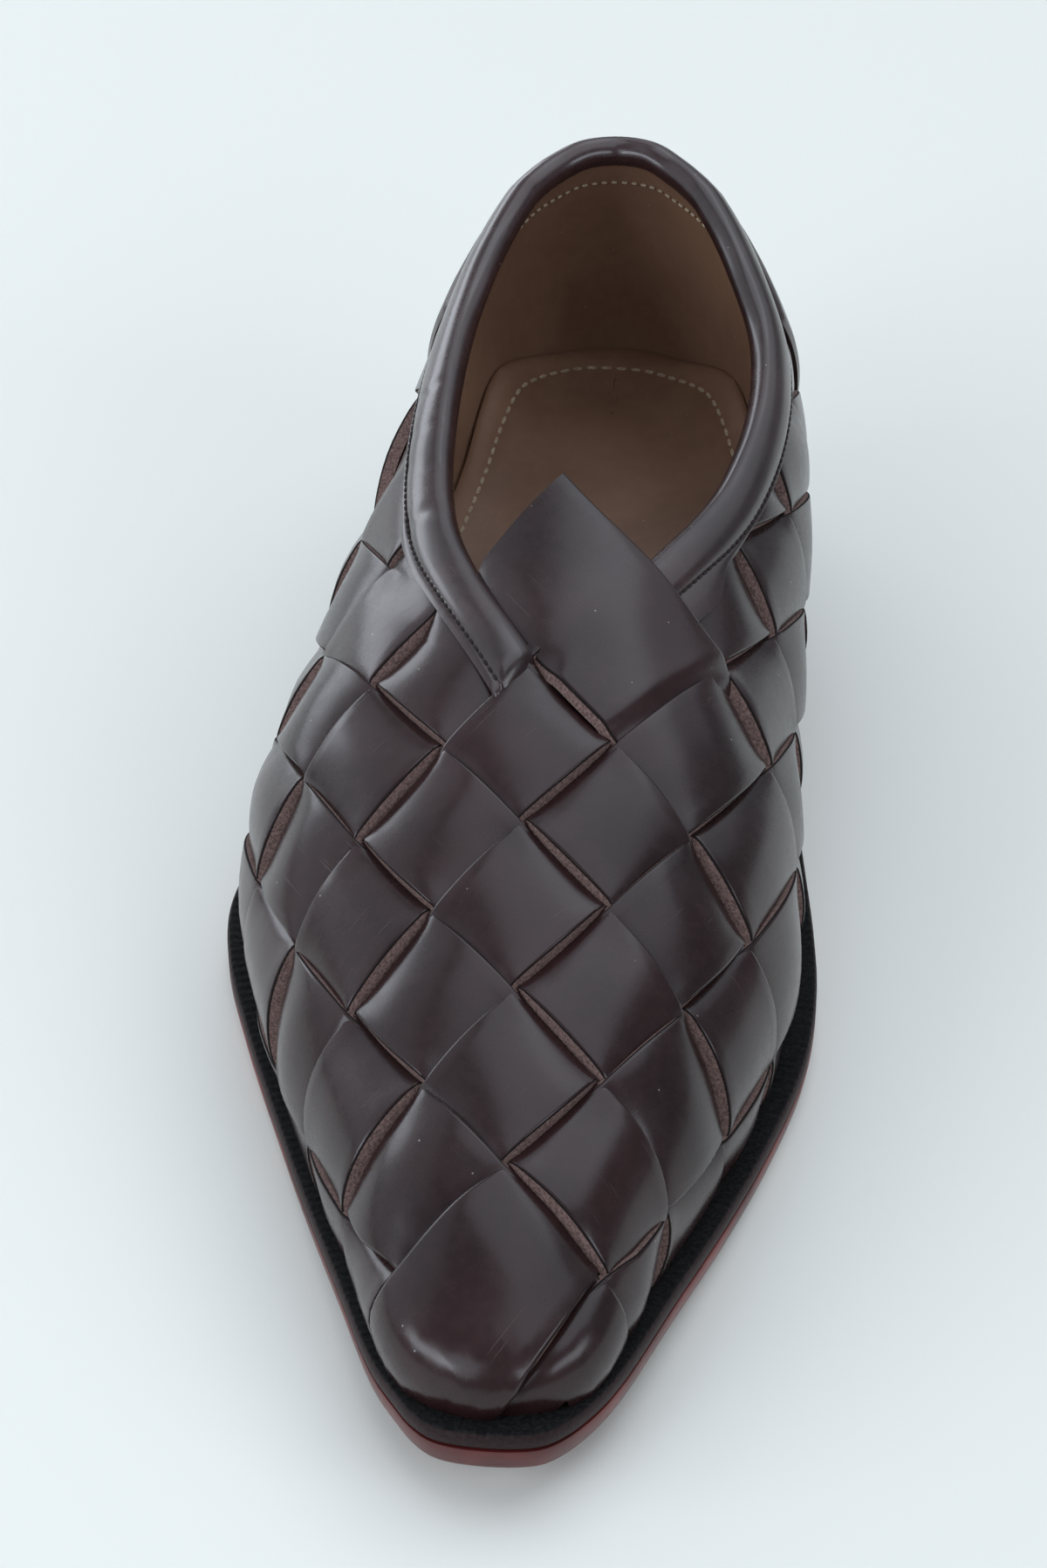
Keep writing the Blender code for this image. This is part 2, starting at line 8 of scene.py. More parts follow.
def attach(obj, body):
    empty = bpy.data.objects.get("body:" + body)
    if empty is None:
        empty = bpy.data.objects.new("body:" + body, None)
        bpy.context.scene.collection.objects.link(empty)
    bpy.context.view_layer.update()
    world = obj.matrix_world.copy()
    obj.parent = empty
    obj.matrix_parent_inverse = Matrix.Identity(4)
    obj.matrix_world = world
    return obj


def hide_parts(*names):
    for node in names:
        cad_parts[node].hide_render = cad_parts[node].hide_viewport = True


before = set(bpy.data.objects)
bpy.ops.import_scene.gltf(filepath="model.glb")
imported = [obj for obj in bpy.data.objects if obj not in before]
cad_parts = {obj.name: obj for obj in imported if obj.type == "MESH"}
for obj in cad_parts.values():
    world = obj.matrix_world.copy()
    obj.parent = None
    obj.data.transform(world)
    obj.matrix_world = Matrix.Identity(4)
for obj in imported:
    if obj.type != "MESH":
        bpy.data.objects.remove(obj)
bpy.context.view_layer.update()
bpy.ops.object.select_all(action="DESELECT")
print("frame loaded")

mm = 0.001
doubles = 1e-6    # points nearer than this are one
rng = np.random.default_rng(7)

# sections of the last, as the solids have them, in millimetres from the tip of the sole
last = {
    "columns": ("y", "lateral", "medial", "ridge", "ridgeX", "rise", "tuck"),
    "rows": (
        (4.8, 0.0, 0.0, 28.0, 1.6, 5.0, 0.8),
        (7.8, 9.4, 10.2, 29.2, 1.7, 5.2, 1.0),
        (12.6, 14.2, 15.1, 31.0, 1.8, 5.6, 1.2),
        (23.0, 19.4, 19.4, 34.4, 1.8, 6.4, 1.5),
        (38.4, 26.3, 24.3, 39.2, 1.7, 8.0, 1.8),
        (60.0, 35.4, 31.9, 45.7, 1.2, 9.5, 2.0),
        (79.0, 42.9, 37.7, 51.6, 0.6, 10.5, 2.1),
        (99.0, 49.6, 41.6, 58.5, 0.1, 11.0, 2.3),
        (117.0, 53.8, 42.5, 64.6, 0.0, 11.5, 2.7),
        (131.5, 54.6, 41.8, 68.5, -0.5, 12.5, 3.2),
        (150.0, 51.3, 40.6, 71.0, -1.5, 14.0, 4.0),
        (170.0, 47.2, 40.2, 74.4, -0.5, 16.0, 4.6),
        (195.0, 43.2, 39.8, 79.4, 1.6, 18.0, 4.8),
        (215.0, 39.2, 39.0, 83.2, 2.0, 18.8, 4.8),
        (235.0, 35.6, 36.4, 86.4, 0.8, 19.0, 4.5),
        (250.0, 33.0, 32.6, 88.4, -0.6, 19.0, 4.2),
        (265.0, 28.6, 26.4, 90.0, -1.6, 18.5, 3.8),
        (277.0, 21.8, 18.2, 91.0, -2.0, 18.0, 3.4),
        (285.6, 12.8, 9.0, 92.0, -2.0, 17.5, 3.2),
        (288.9, 0.0, 0.0, 92.5, -2.0, 17.0, 3.0),
    ),
    "spine": (30.0, 264.0),      # y where the toe's and the heel's rounding start
    "gridStep": 1.0, "gridAcross": (-114.0, 114.0), "gridAlong": (-64.0, 336.0),
    "crownSteps": 40,            # points along a ray down to the widest level
    "tuckSteps": 20,             # and from there to the welt
}

# outline of the sole: y, lateral and medial half width; underside: y and height
sole = {
    "outline": (
        (0.0, 0.0, 0.0), (1.2, 7.2, 8.6), (4.0, 10.8, 12.0), (9.8, 14.8, 15.9),
        (17.0, 18.9, 19.2), (38.6, 27.5, 26.3), (60.0, 36.0, 33.6), (79.4, 43.3, 39.4),
        (99.4, 50.7, 44.0), (117.3, 56.3, 45.0), (131.0, 58.0, 44.0), (150.0, 53.5, 41.2),
        (172.0, 46.5, 37.6), (195.0, 40.5, 36.2), (215.0, 36.8, 36.2), (235.0, 34.4, 35.4),
        (250.0, 32.6, 32.4), (265.0, 28.8, 27.0), (277.0, 22.2, 19.2), (286.0, 13.2, 9.8),
        (289.6, 0.0, 0.0),
    ),
    "under": (
        (0.0, 8.4), (15.0, 6.1), (30.0, 4.2), (50.0, 2.1), (70.0, 0.7), (85.0, 0.0),
        (110.0, 0.0), (130.0, 1.2), (160.0, 6.5), (190.0, 14.0), (215.0, 18.6), (240.0, 21.0),
        (300.0, 22.5),
    ),
    "thick": 3.9, "weltThick": 3.0, "seam": 0.3, "points": 420,
    "spineEnds": (18.0, 24.0),    # from the toe and the heel, in plates that close on a spine
}

# top edge of the collar from above: y, lateral and medial half width
collar = {
    "outline": (
        (126.8, 0.0, 0.0), (128.2, 4.4, -1.4), (132.0, 7.0, 0.9), (140.0, 11.6, 5.6),
        (150.0, 16.4, 11.0), (160.0, 20.4, 16.0), (170.0, 23.0, 20.6), (182.0, 24.8, 24.8),
        (200.0, 26.0, 28.4), (216.0, 26.4, 29.4), (230.0, 26.0, 28.2), (243.0, 24.2, 24.0),
        (256.0, 21.0, 19.2), (265.5, 16.8, 13.8), (273.2, 10.8, 7.0), (277.6, 0.0, 0.0),
    ),
    "points": 720,
    "soften": 14,         # neighbours taken to even out its outward direction
    "thin": 4,            # one point in four is enough for distances
    "batch": 4000,
}


def hermite(xs, ys, x):
    xs = np.asarray(xs, float)
    ys = np.asarray(ys, float)
    slope = np.gradient(ys, xs)
    x = np.clip(x, xs[0], xs[-1])
    low = np.clip(np.searchsorted(xs, x) - 1, 0, len(xs) - 2)
    span = xs[low + 1] - xs[low]
    t = (x - xs[low]) / span
    start = ys[low] * (1 + 2 * t) * (1 - t) ** 2 + slope[low] * span * t * (1 - t) ** 2
    return start + ys[low + 1] * t * t * (3 - 2 * t) + slope[low + 1] * span * t * t * (t - 1)


def unit(ways):
    return ways / np.linalg.norm(ways, axis=-1)[..., None]


def summed(steps):
    return np.concatenate([[0.0], np.cumsum(steps)])


def stepLengths(points):
    return np.linalg.norm(np.diff(points, axis=0), axis=1)


def runAlong(points):
    # distance of each point from the first, along the line
    return summed(stepLengths(points))


def pointsAt(run, runs, line):
    return np.stack([np.interp(run, runs, column) for column in line.T], axis=-1)


def pairs(first, second):
    return np.stack(np.broadcast_arrays(first, second), axis=-1)


def inwardWays(loop):
    # directions to the left of a closed line
    step = np.roll(loop, -1, axis=0) - np.roll(loop, 1, axis=0)
    return unit(pairs(-step[:, 1], step[:, 0]))


def planLoop(rows, count):
    # closed plan curve, the first and last row are its tips
    inner = rows[1:-1]
    points = [((inner[0][2] - inner[0][1]) / 2, rows[0][0])]
    points += [(row[2], row[0]) for row in inner]
    points += [((inner[-1][2] - inner[-1][1]) / 2, rows[-1][0])]
    points += [(-row[1], row[0]) for row in reversed(inner)]
    points = np.array(points)
    wrapped = np.vstack([points[-3:], points, points[:4]])
    run = summed(np.sqrt(stepLengths(wrapped)))
    at = np.linspace(run[3], run[3 + len(points)], count, endpoint=False)
    return pairs(hermite(run, wrapped[:, 0], at), hermite(run, wrapped[:, 1], at))


def lastValue(name, y):
    column = last["columns"].index(name)
    return hermite([row[0] for row in last["rows"]], [row[column] for row in last["rows"]], y)


def ease(share):
    share = np.clip(share, 0.0, 1.0)
    return share * share * (3 - 2 * share)


def underside(y):
    return np.maximum(hermite(*zip(*sole["under"]), y), 0.0)


def weltTop(y):
    return underside(y) + sole["thick"] + sole["seam"] + sole["weltThick"]


def sideReach(loop, y, side):
    half = loop[loop[:, 0] * side > 0]
    half = half[np.argsort(half[:, 1])]
    return np.interp(y, half[:, 1], half[:, 0])


def polar(loop, centre, forward):
    step = loop - np.array(centre)
    angle = np.arctan2(step[:, 0], step[:, 1] * forward)
    order = np.argsort(angle)
    return angle[order], np.hypot(step[:, 0], step[:, 1])[order]


toeY, heelY = last["spine"]
toeX, heelX = (float(lastValue("ridgeX", y)) for y in last["spine"])
lastLoop = planLoop([row[:3] for row in last["rows"]], collar["points"])
soleLoop = planLoop(sole["outline"], collar["points"])
shoeMiddle = np.append((soleLoop.min(axis=0) + soleLoop.max(axis=0)) / 2, 0.0)
toeReach = polar(lastLoop, (toeX, toeY), -1.0)
heelReach = polar(lastLoop, (heelX, heelY), 1.0)
ridgeY = np.linspace(toeY, heelY, collar["points"])
ridgeRun = runAlong(pairs(ridgeY, lastValue("ridge", ridgeY)))
profileShare = np.concatenate([np.linspace(0.0, 1.0, last["crownSteps"]),
                               np.linspace(1.0, 2.0, last["tuckSteps"])[1:]])


def rayReach(y, xWay, yWay, over):
    # plan distance from the spine to the widest outline
    outline = np.where(xWay >= 0, sideReach(lastLoop, y, 1), sideReach(lastLoop, y, -1))
    side = np.abs(outline - lastValue("ridgeX", y))
    toe = np.interp(np.arctan2(xWay, -yWay), *toeReach)
    heel = np.interp(np.arctan2(xWay, yWay), *heelReach)
    return np.where(over < 0, toe, np.where(over > 0, heel, side))


def rayProfile(y, xWay, yWay, over):
    # the skin along each ray: an ellipse to the widest level, then a tuck down to the welt
    reach = rayReach(y, xWay, yWay, over)[:, None]
    centre = lastValue("ridgeX", y)[:, None]
    foot = y[:, None] + yWay[:, None] * reach
    share = profileShare[None, :]
    crown = np.minimum(share, 1.0) * math.pi / 2
    fall = np.maximum(share - 1.0, 0.0)
    out = np.where(share <= 1.0, reach * np.sin(crown), reach - lastValue("tuck", foot) * fall ** 2)
    x = centre + xWay[:, None] * out
    y = y[:, None] + yWay[:, None] * out
    level = weltTop(y) + lastValue("rise", y)
    z = np.where(share <= 1.0, level + (lastValue("ridge", y) - level) * np.cos(crown),
                 level - lastValue("rise", y) * fall)
    return np.stack([x, y, z], axis=2)


def rayLengths(lines):
    steps = np.linalg.norm(np.diff(lines, axis=1), axis=2)
    return steps, np.concatenate([np.zeros((len(lines), 1)), np.cumsum(steps, axis=1)], axis=1)


def skinRow(across, along):
    # exact skin points for one row of the unrolled plane, and the distance past the welt
    y = np.interp(along, ridgeRun, ridgeY)
    over = np.where(along < 0, along, np.maximum(along - ridgeRun[-1], 0.0))
    run = np.hypot(across, over)
    safe = np.maximum(run, 1e-9)
    xWay = np.where(run > 1e-9, across / safe, 1.0)
    lines = rayProfile(y, xWay, over / safe, over)
    steps, lengths = rayLengths(lines)
    points = np.array([pointsAt(r, length, line) for r, length, line in zip(run, lengths, lines)])
    past = run - lengths[:, -1]
    lastStep = (lines[:, -1] - lines[:, -2]) / steps[:, -1:]
    return points + lastStep * np.maximum(past, 0.0)[:, None], past


gridU = np.arange(*last["gridAcross"], last["gridStep"])
gridV = np.arange(*last["gridAlong"], last["gridStep"])
skinRows = [skinRow(gridU, np.full(len(gridU), v)) for v in gridV]
skinPoints = np.array([row[0] for row in skinRows])
skinPast = np.array([row[1] for row in skinRows])
skinNormals = np.cross(np.gradient(skinPoints, axis=1), np.gradient(skinPoints, axis=0))
skinNormals /= np.maximum(np.linalg.norm(skinNormals, axis=2), 1e-9)[:, :, None]


def gridCell(across, along, edge):
    # cell of the grid at least this far from its edge, and the place in it
    u = np.clip((across - gridU[0]) / last["gridStep"], edge, len(gridU) - edge - 1.001)
    v = np.clip((along - gridV[0]) / last["gridStep"], edge, len(gridV) - edge - 1.001)
    iu, iv = u.astype(int), v.astype(int)
    return iu, iv, u - iu, v - iv


def gridRead(field, across, along):
    iu, iv, fu, fv = gridCell(across, along, 0)
    if field.ndim == 3:
        fu, fv = fu[..., None], fv[..., None]
    near = field[iv, iu] * (1 - fu) + field[iv, iu + 1] * fu
    far = field[iv + 1, iu] * (1 - fu) + field[iv + 1, iu + 1] * fu
    return near * (1 - fv) + far * fv


def cubicWeights(t):
    t = t[..., None]
    return np.concatenate([t * (t * (2 - t) - 1), t * t * (3 * t - 5) + 2, t * (t * (4 - 3 * t) + 1),
                           t * t * (t - 1)], axis=-1) / 2


def skinAt(across, along):
    # smooth skin point through the sixteen grid points around it
    iu, iv, fu, fv = gridCell(across, along, 1)
    wu, wv = cubicWeights(fu), cubicWeights(fv)
    spots = 0.0
    for row in range(4):
        for column in range(4):
            share = wv[..., row] * wu[..., column]
            spots = spots + skinPoints[iv + row - 1, iu + column - 1] * share[..., None]
    return spots


def onSkin(across, along, height):
    across, along, height = np.broadcast_arrays(np.asarray(across, float), along, height)
    return skinAt(across, along) + unit(gridRead(skinNormals, across, along)) * height[..., None]


def unroll(plan):
    # unrolled point of a plan point inside the outline
    at = np.clip(plan[:, 1], toeY, heelY)
    over = plan[:, 1] - at
    side = plan[:, 0] - lastValue("ridgeX", at)
    run = np.hypot(side, over)
    lines = rayProfile(at, side / run, over / run, over)[:, :last["crownSteps"]]
    lengths = rayLengths(lines)[1]
    outs = np.hypot(lines[:, :, 0] - lastValue("ridgeX", at)[:, None], lines[:, :, 1] - at[:, None])
    arc = np.array([np.interp(r, out, length) for r, out, length in zip(run, outs, lengths)])
    return pairs(side / run * arc, np.interp(at, ridgeY, ridgeRun) + over / run * arc)


collarPlan = planLoop(collar["outline"], collar["points"])
collarPlan = np.vstack([collarPlan[:1], collarPlan[:0:-1]])    # from the throat back along the lateral side
collarLine = unroll(collarPlan)
collarOut = inwardWays(collarLine)
collarOut *= np.sign(np.sum(collarOut * (collarLine - collarLine.mean(axis=0)), axis=1)).mean()
collarOut = unit(sum(np.roll(collarOut, k, axis=0) for k in range(-collar["soften"], collar["soften"] + 1)))
collarRun = runAlong(collarLine)


def collarAt(run):
    return pointsAt(run, collarRun, collarLine), unit(pointsAt(run, collarRun, collarOut))


def beside(line, out, down, height):
    return onSkin(line[..., 0] + out[..., 0] * down, line[..., 1] + out[..., 1] * down, height)


def belowCollar(run, down, height):
    # points at a distance below the collar's top edge, over or under the skin
    return beside(*collarAt(run), down, height)


def openingDepth(across, along):
    # distance into the collar's opening, negative outside
    flat = pairs(np.ravel(across), np.ravel(along))
    depth = np.empty(len(flat))
    thinLine, thinOut = collarLine[::collar["thin"]], collarOut[::collar["thin"]]
    for start in range(0, len(flat), collar["batch"]):
        part = slice(start, start + collar["batch"])
        step = flat[part, None, :] - thinLine[None]
        distance = np.linalg.norm(step, axis=2)
        near = np.argmin(distance, axis=1)
        rows = np.arange(len(near))
        side = np.sum(step[rows, near] * thinOut[near], axis=1)
        depth[part] = np.where(side < 0, 1.0, -1.0) * distance[rows, near]
    return depth.reshape(np.shape(across))


print("last and collar ready")


def meshPiece(name, points, faces, finishes, uvs=None, slots=None):
    # joined mesh from arrays in millimetres, at the origin
    points = (np.reshape(points, (-1, 3)) - shoeMiddle) * mm
    mesh = bpy.data.meshes.new(name)
    mesh.from_pydata([tuple(p) for p in points], [], [tuple(int(v) for v in f) for f in faces])
    if uvs is not None:
        layer = mesh.uv_layers.new(name="run")
        corners = np.empty(len(mesh.loops), int)
        mesh.loops.foreach_get("vertex_index", corners)
        layer.data.foreach_set("uv", np.reshape(uvs, (-1, 2))[corners].astype(np.float32).ravel())
    if slots is not None:
        mesh.polygons.foreach_set("material_index", np.asarray(slots, np.int32))
    mesh.update()
    for finish in finishes:
        mesh.materials.append(finish)
    piece = bpy.data.objects.new(name, mesh)
    bpy.context.scene.collection.objects.link(piece)
    return piece


def pick(piece):
    bpy.ops.object.select_all(action="DESELECT")
    piece.select_set(True)
    bpy.context.view_layer.objects.active = piece


def tidyMesh(piece, angle, weld):
    # merge doubles where asked, turn the faces out and shade smooth
    pick(piece)
    bpy.ops.object.mode_set(mode="EDIT")
    bpy.ops.mesh.select_all(action="SELECT")
    if weld:
        bpy.ops.mesh.remove_doubles(threshold=doubles)
    bpy.ops.mesh.normals_make_consistent(inside=False)
    bpy.ops.object.mode_set(mode="OBJECT")
    bpy.ops.object.shade_smooth_by_angle(angle=math.radians(angle))
    piece.select_set(False)


def applyModifier(piece, kind, **settings):
    pick(piece)
    modifier = piece.modifiers.new(kind.lower(), kind)
    for name, value in settings.items():
        setattr(modifier, name, value)
    bpy.ops.object.modifier_apply(modifier=modifier.name)
    piece.select_set(False)


def gridFaces(rows, columns, closeColumns=False):
    r = np.arange(rows - 1)[:, None]
    c = np.arange(columns if closeColumns else columns - 1)[None, :]
    d = (c + 1) % columns
    here, above = r * columns, (r + 1) * columns
    return np.stack([here + c, here + d, above + d, above + c], axis=2).reshape(-1, 4)


def keptFaces(inside, closeColumns=False):
    # faces with all corners inside, the points that they use and the faces in those points' numbers
    quads = gridFaces(*inside.shape, closeColumns)
    quads = quads[inside.ravel()[quads].all(axis=1)]
    used, local = np.unique(quads, return_inverse=True)
    return quads, used, local.reshape(quads.shape)


def tubeFaces(rows, count):
    # rings joined to a tube, with a face over each end
    ends = [np.arange(count)[::-1], np.arange(count) + (rows - 1) * count]
    return list(gridFaces(rows, count, True)) + ends


def settle(piece, angle, slot, *nodes, weld=False):
    tidyMesh(piece, angle, weld)
    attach(piece, "root")
    if nodes:
        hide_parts(*nodes)


class Wire:
    # a socket whose sums add Math nodes
    def __init__(self, tree, socket):
        self.tree = tree
        self.socket = socket

    def node(self, kind, settings, sockets, output=0):
        made = self.tree.nodes.new(kind)
        for name, value in settings.items():
            setattr(made, name, value)
        for name, value in sockets.items():
            plug(self.tree, made.inputs[name], value)
        return Wire(self.tree, made.outputs[output])

    def maths(self, operation, first, second):
        return self.node("ShaderNodeMath", {"operation": operation}, {0: first, 1: second})

    def __add__(self, other):
        return self.maths("ADD", self, other)

    __radd__ = __add__

    def __sub__(self, other):
        return self.maths("SUBTRACT", self, other)

    def __mul__(self, other):
        return self.maths("MULTIPLY", self, other)

    def __rsub__(self, other):
        return self.maths("SUBTRACT", other, self)

    def band(self, low, high):
        # 0 below low and 1 above high, either way round
        return self.node("ShaderNodeMapRange", {"interpolation_type": "SMOOTHSTEP"},
                         {"Value": self, "From Min": low, "From Max": high})

    def mixed(self, first, second):
        return self.node("ShaderNodeMix", {"data_type": "RGBA"}, {0: self, 6: first, 7: second}, 2)

    def scaled(self, size):
        return self.node("ShaderNodeVectorMath", {"operation": "MULTIPLY"}, {0: self, 1: size})

    def noise(self, scale, detail=2.0, rough=0.5):
        sockets = {"Vector": self, "Scale": scale, "Detail": detail, "Roughness": rough}
        return self.node("ShaderNodeTexNoise", {}, sockets)

    def bump(self, strength, distance):
        return self.node("ShaderNodeBump", {}, {"Height": self, "Strength": strength, "Distance": distance})


def plug(tree, socket, value):
    if isinstance(value, Wire):
        tree.links.new(value.socket, socket)
    else:
        socket.default_value = value


def newFinish(name, **constants):
    # a Principled material, with its shader and the object coordinates in millimetres
    material = bpy.data.materials.new(name)
    material.use_nodes = True
    tree = material.node_tree
    shader = tree.nodes["Principled BSDF"]
    for socket, value in constants.items():
        shader.inputs[socket.replace("_", " ")].default_value = value
    place = Wire(tree, None).node("ShaderNodeTexCoord", {}, {}, 3).scaled((1 / mm, 1 / mm, 1 / mm))
    return material, shader, place


def feed(shader, **values):
    for socket, value in values.items():
        plug(shader.id_data, shader.inputs[socket.replace("_", " ")], value)


def rgb(r, g, b):
    return (r, g, b, 1.0)


def leatherFinish(name, look):
    # smooth dyed leather: cloudy tone, fine pores, hairline scratches and a few specks
    material, shader, place = newFinish(name, Coat_Roughness=look["coatRough"],
                                        Specular_IOR_Level=look["specular"])
    run = place.node("ShaderNodeUVMap", {"uv_map": "run"}, {})
    cloud = place.noise(0.035, 3.0).band(0.35, 0.68)
    mottle = place.noise(0.4, 4.0, 0.6).band(0.3, 0.75)
    pores = place.noise(3.2, 3.0, 0.65)
    hair = run.scaled((0.05, 2.6, 1.0)).noise(1.0, 2.0, 0.6)
    scratch = hair.band(0.685, 0.72) * place.noise(0.07, 1.0).band(0.5, 0.62)
    cell = place.node("ShaderNodeTexVoronoi", {}, {"Vector": place, "Scale": 0.26})
    speck = cell.band(0.05, 0.02) * place.noise(0.11, 0.0).band(0.5, 0.56)
    tone = place.node("ShaderNodeAttribute", {"attribute_name": "tone"}, {}, 2)
    shade = cloud * 0.6 + mottle * 0.25 + tone * 0.25
    colour = shade.mixed(look["dark"], look["light"])
    colour = (scratch * look["scratch"]).mixed(colour, look["scuff"])
    colour = (speck * 0.6).mixed(colour, look["dust"])
    relief = pores * 0.5 + mottle * 0.05 - scratch * 0.5
    feed(shader, Base_Color=colour, Roughness=look["rough"] + mottle * 0.05 + scratch * 0.15 - cloud * 0.04,
         Coat_Weight=look["coat"] - scratch * look["coat"], Normal=relief.bump(look["grain"], 0.2 * mm))
    return material


def suedeFinish(name, look):
    # raw cut leather
    material, shader, place = newFinish(name, Specular_IOR_Level=0.2)
    fibre = place.noise(2.2, 4.0, 0.7)
    colour = fibre.band(0.32, 0.68).mixed(look["dark"], look["light"])
    feed(shader, Base_Color=colour, Roughness=0.8 + fibre * 0.15, Normal=fibre.bump(0.8, 0.4 * mm))
    return material


leather = {
    "dark": rgb(0.0125, 0.0046, 0.0048),
    "light": rgb(0.031, 0.0128, 0.0136),
    "scuff": rgb(0.10, 0.085, 0.08),
    "dust": rgb(0.55, 0.53, 0.5),
    "rough": 0.265, "coat": 0.12, "coatRough": 0.16, "specular": 0.37, "grain": 0.11, "scratch": 0.5,
}
strapLeather = leatherFinish("strap_leather", leather)
smoothLeather = leatherFinish("counter_leather", {**leather, "rough": 0.3, "scratch": 0.2, "grain": 0.1})
# the band's leather is lighter than the straps': painted sheen on the band, on top of its higher gloss
foldLeatherSheen = leatherFinish("fold_leather_painted_sheen", {
    **leather, "light": rgb(0.044, 0.021, 0.0225), "rough": 0.29, "coat": 0.25, "specular": 0.55})
rawEdge = suedeFinish("raw_edge", {"dark": rgb(0.09, 0.055, 0.049), "light": rgb(0.24, 0.16, 0.143)})
# near-black rims on the strap edges: painted shade, which also hides the light that the edge chamfers catch
paintedShadeRim = suedeFinish("painted_shade_rim", {"dark": rgb(0.004, 0.0025, 0.0025), "light": rgb(0.016, 0.0095, 0.0095)})
liningLeather = leatherFinish("lining_leather", {
    **leather, "dark": rgb(0.18, 0.097, 0.058), "light": rgb(0.26, 0.149, 0.094),
    "scuff": rgb(0.36, 0.24, 0.17), "rough": 0.58, "coat": 0.0, "grain": 0.25, "scratch": 0.2})
print("leather finishes ready")

# woven straps: two families cross on the unrolled skin, each over and under the other in turn
weave = {
    "corner": (-1.6, 5.8), "right": (14.1, 17.0), "left": (-14.9, 14.6), "bow": 0.0048,
    "toeStretch": 0.3,    # cells beyond the toe's corner are wider by this share
    "toeTip": 10.5,       # and the one at the tip is longer by this much
    "tabWide": 0.42,      # the strap that ends in the tab is wider by this share
    "tabIndex": 3,
    "tabFrom": 1.7,       # and the tab takes its place from here on
    "cells": (-5, 18),
    "steps": 16,          # rows in one cell
    "thick": 2.6,
    "far": (1.9, 0.9),    # how far a strap sinks at the rear end of a cell, gently and in a sharp dip
    "near": (1.0, 0.2),   # and at the front end
    "arch": 0.6,          # rounding on top, then nearly straight slopes to both ends
    "sharp": 14.0,
    "side": 0.6,          # share of the drop that the strap's two sides are spared
    "sink": 0.3,
    "deepest": -3.15,     # kept clear of the lining
    "crown": 0.12,
    "toePuff": 1.8,       # the toe swells over the welt
    "toePuffFrom": 6.0, "toePuffRun": 40.0, "toePuffRise": (-20.0, 14.0),
    "toePanel": -1,       # this strap stays over from the toe's corner to the welt
    "wide": 0.95,         # of the pitch, so that the corners stand apart a little
    "overWide": 0.03,     # a strap is wider by this share where it is over
    "pastWelt": 3.5,      # the straps run this far into the welt
    "underBand": 3.2,     # and end this far below the collar's top
    "throatRun": 14.0,    # nearer to the throat's tip they reach the edge and run past it
    "throatPast": 2.5, "throatShare": 0.2, "rearEnd": 262.0,
    "flatNear": 9.0,      # under the lateral band they lie flat
    "flatFrom": -14.0, "flatRun": 6.0,
    "thin": 0.45,         # share of its thickness that a strap loses towards the ends of a cell
    "underThick": 0.5,    # share that it has where it is under
    "flesh": 0.2,         # its flesh side goes this far below the deepest
    "grainCell": (21.7, 20.5),
    "grainShift": (37.0, 500.0),    # no two straps show the same grain
}
# across share, fixed depth and share of the thickness, round one strap
strapRing = np.array((
    (-0.528, 0.0, 1.0), (-0.504, 0.42, 0.0), (-0.494, 0.1, 0.0), (-0.475, 0.0, 0.0),
    (-0.38, 0.0, 0.0), (-0.24, 0.0, 0.0), (-0.08, 0.0, 0.0), (0.08, 0.0, 0.0),
    (0.24, 0.0, 0.0), (0.38, 0.0, 0.0), (0.475, 0.0, 0.0), (0.494, 0.1, 0.0),
    (0.504, 0.42, 0.0), (0.528, 0.0, 1.0), (0.3, 0.0, 1.0), (0.0, 0.0, 1.0),
    (-0.3, 0.0, 1.0),
))
rawFaces = (0, 12, 13, 14, 15, 16)    # of its faces, those of the cut edges and the flesh side
shadeRimFaces = (1, 11)                   # and the two dark rims of painted shade
strapFinishes = (strapLeather, rawEdge, paintedShadeRim)


def strapSlots(ring):
    return np.isin(ring, rawFaces) + 2 * np.isin(ring, shadeRimFaces)


def weavePoint(right, left):
    right = right + weave["tabWide"] * np.clip(right - weave["tabIndex"], 0.0, 1.0)
    past, pastLeft = np.minimum(right, 0.0), np.minimum(left, 0.0)
    across = weave["corner"][0] + right * weave["right"][0] + left * weave["left"][0]
    across = across + weave["toeStretch"] * (past * weave["right"][0] + pastLeft * weave["left"][0])
    along = weave["corner"][1] + right * weave["right"][1] + left * weave["left"][1]
    return across, along - weave["toeTip"] * past * pastLeft + weave["bow"] * across ** 2


def isOver(family, index, cell):
    # "right" straps are over in even cells, "left" straps in odd ones
    right, left = (cell, index) if family == "right" else (index, cell)
    rightOver = ((right + left) % 2 == 0) | ((left == weave["toePanel"]) & (right < 0))
    return rightOver if family == "right" else ~rightOver


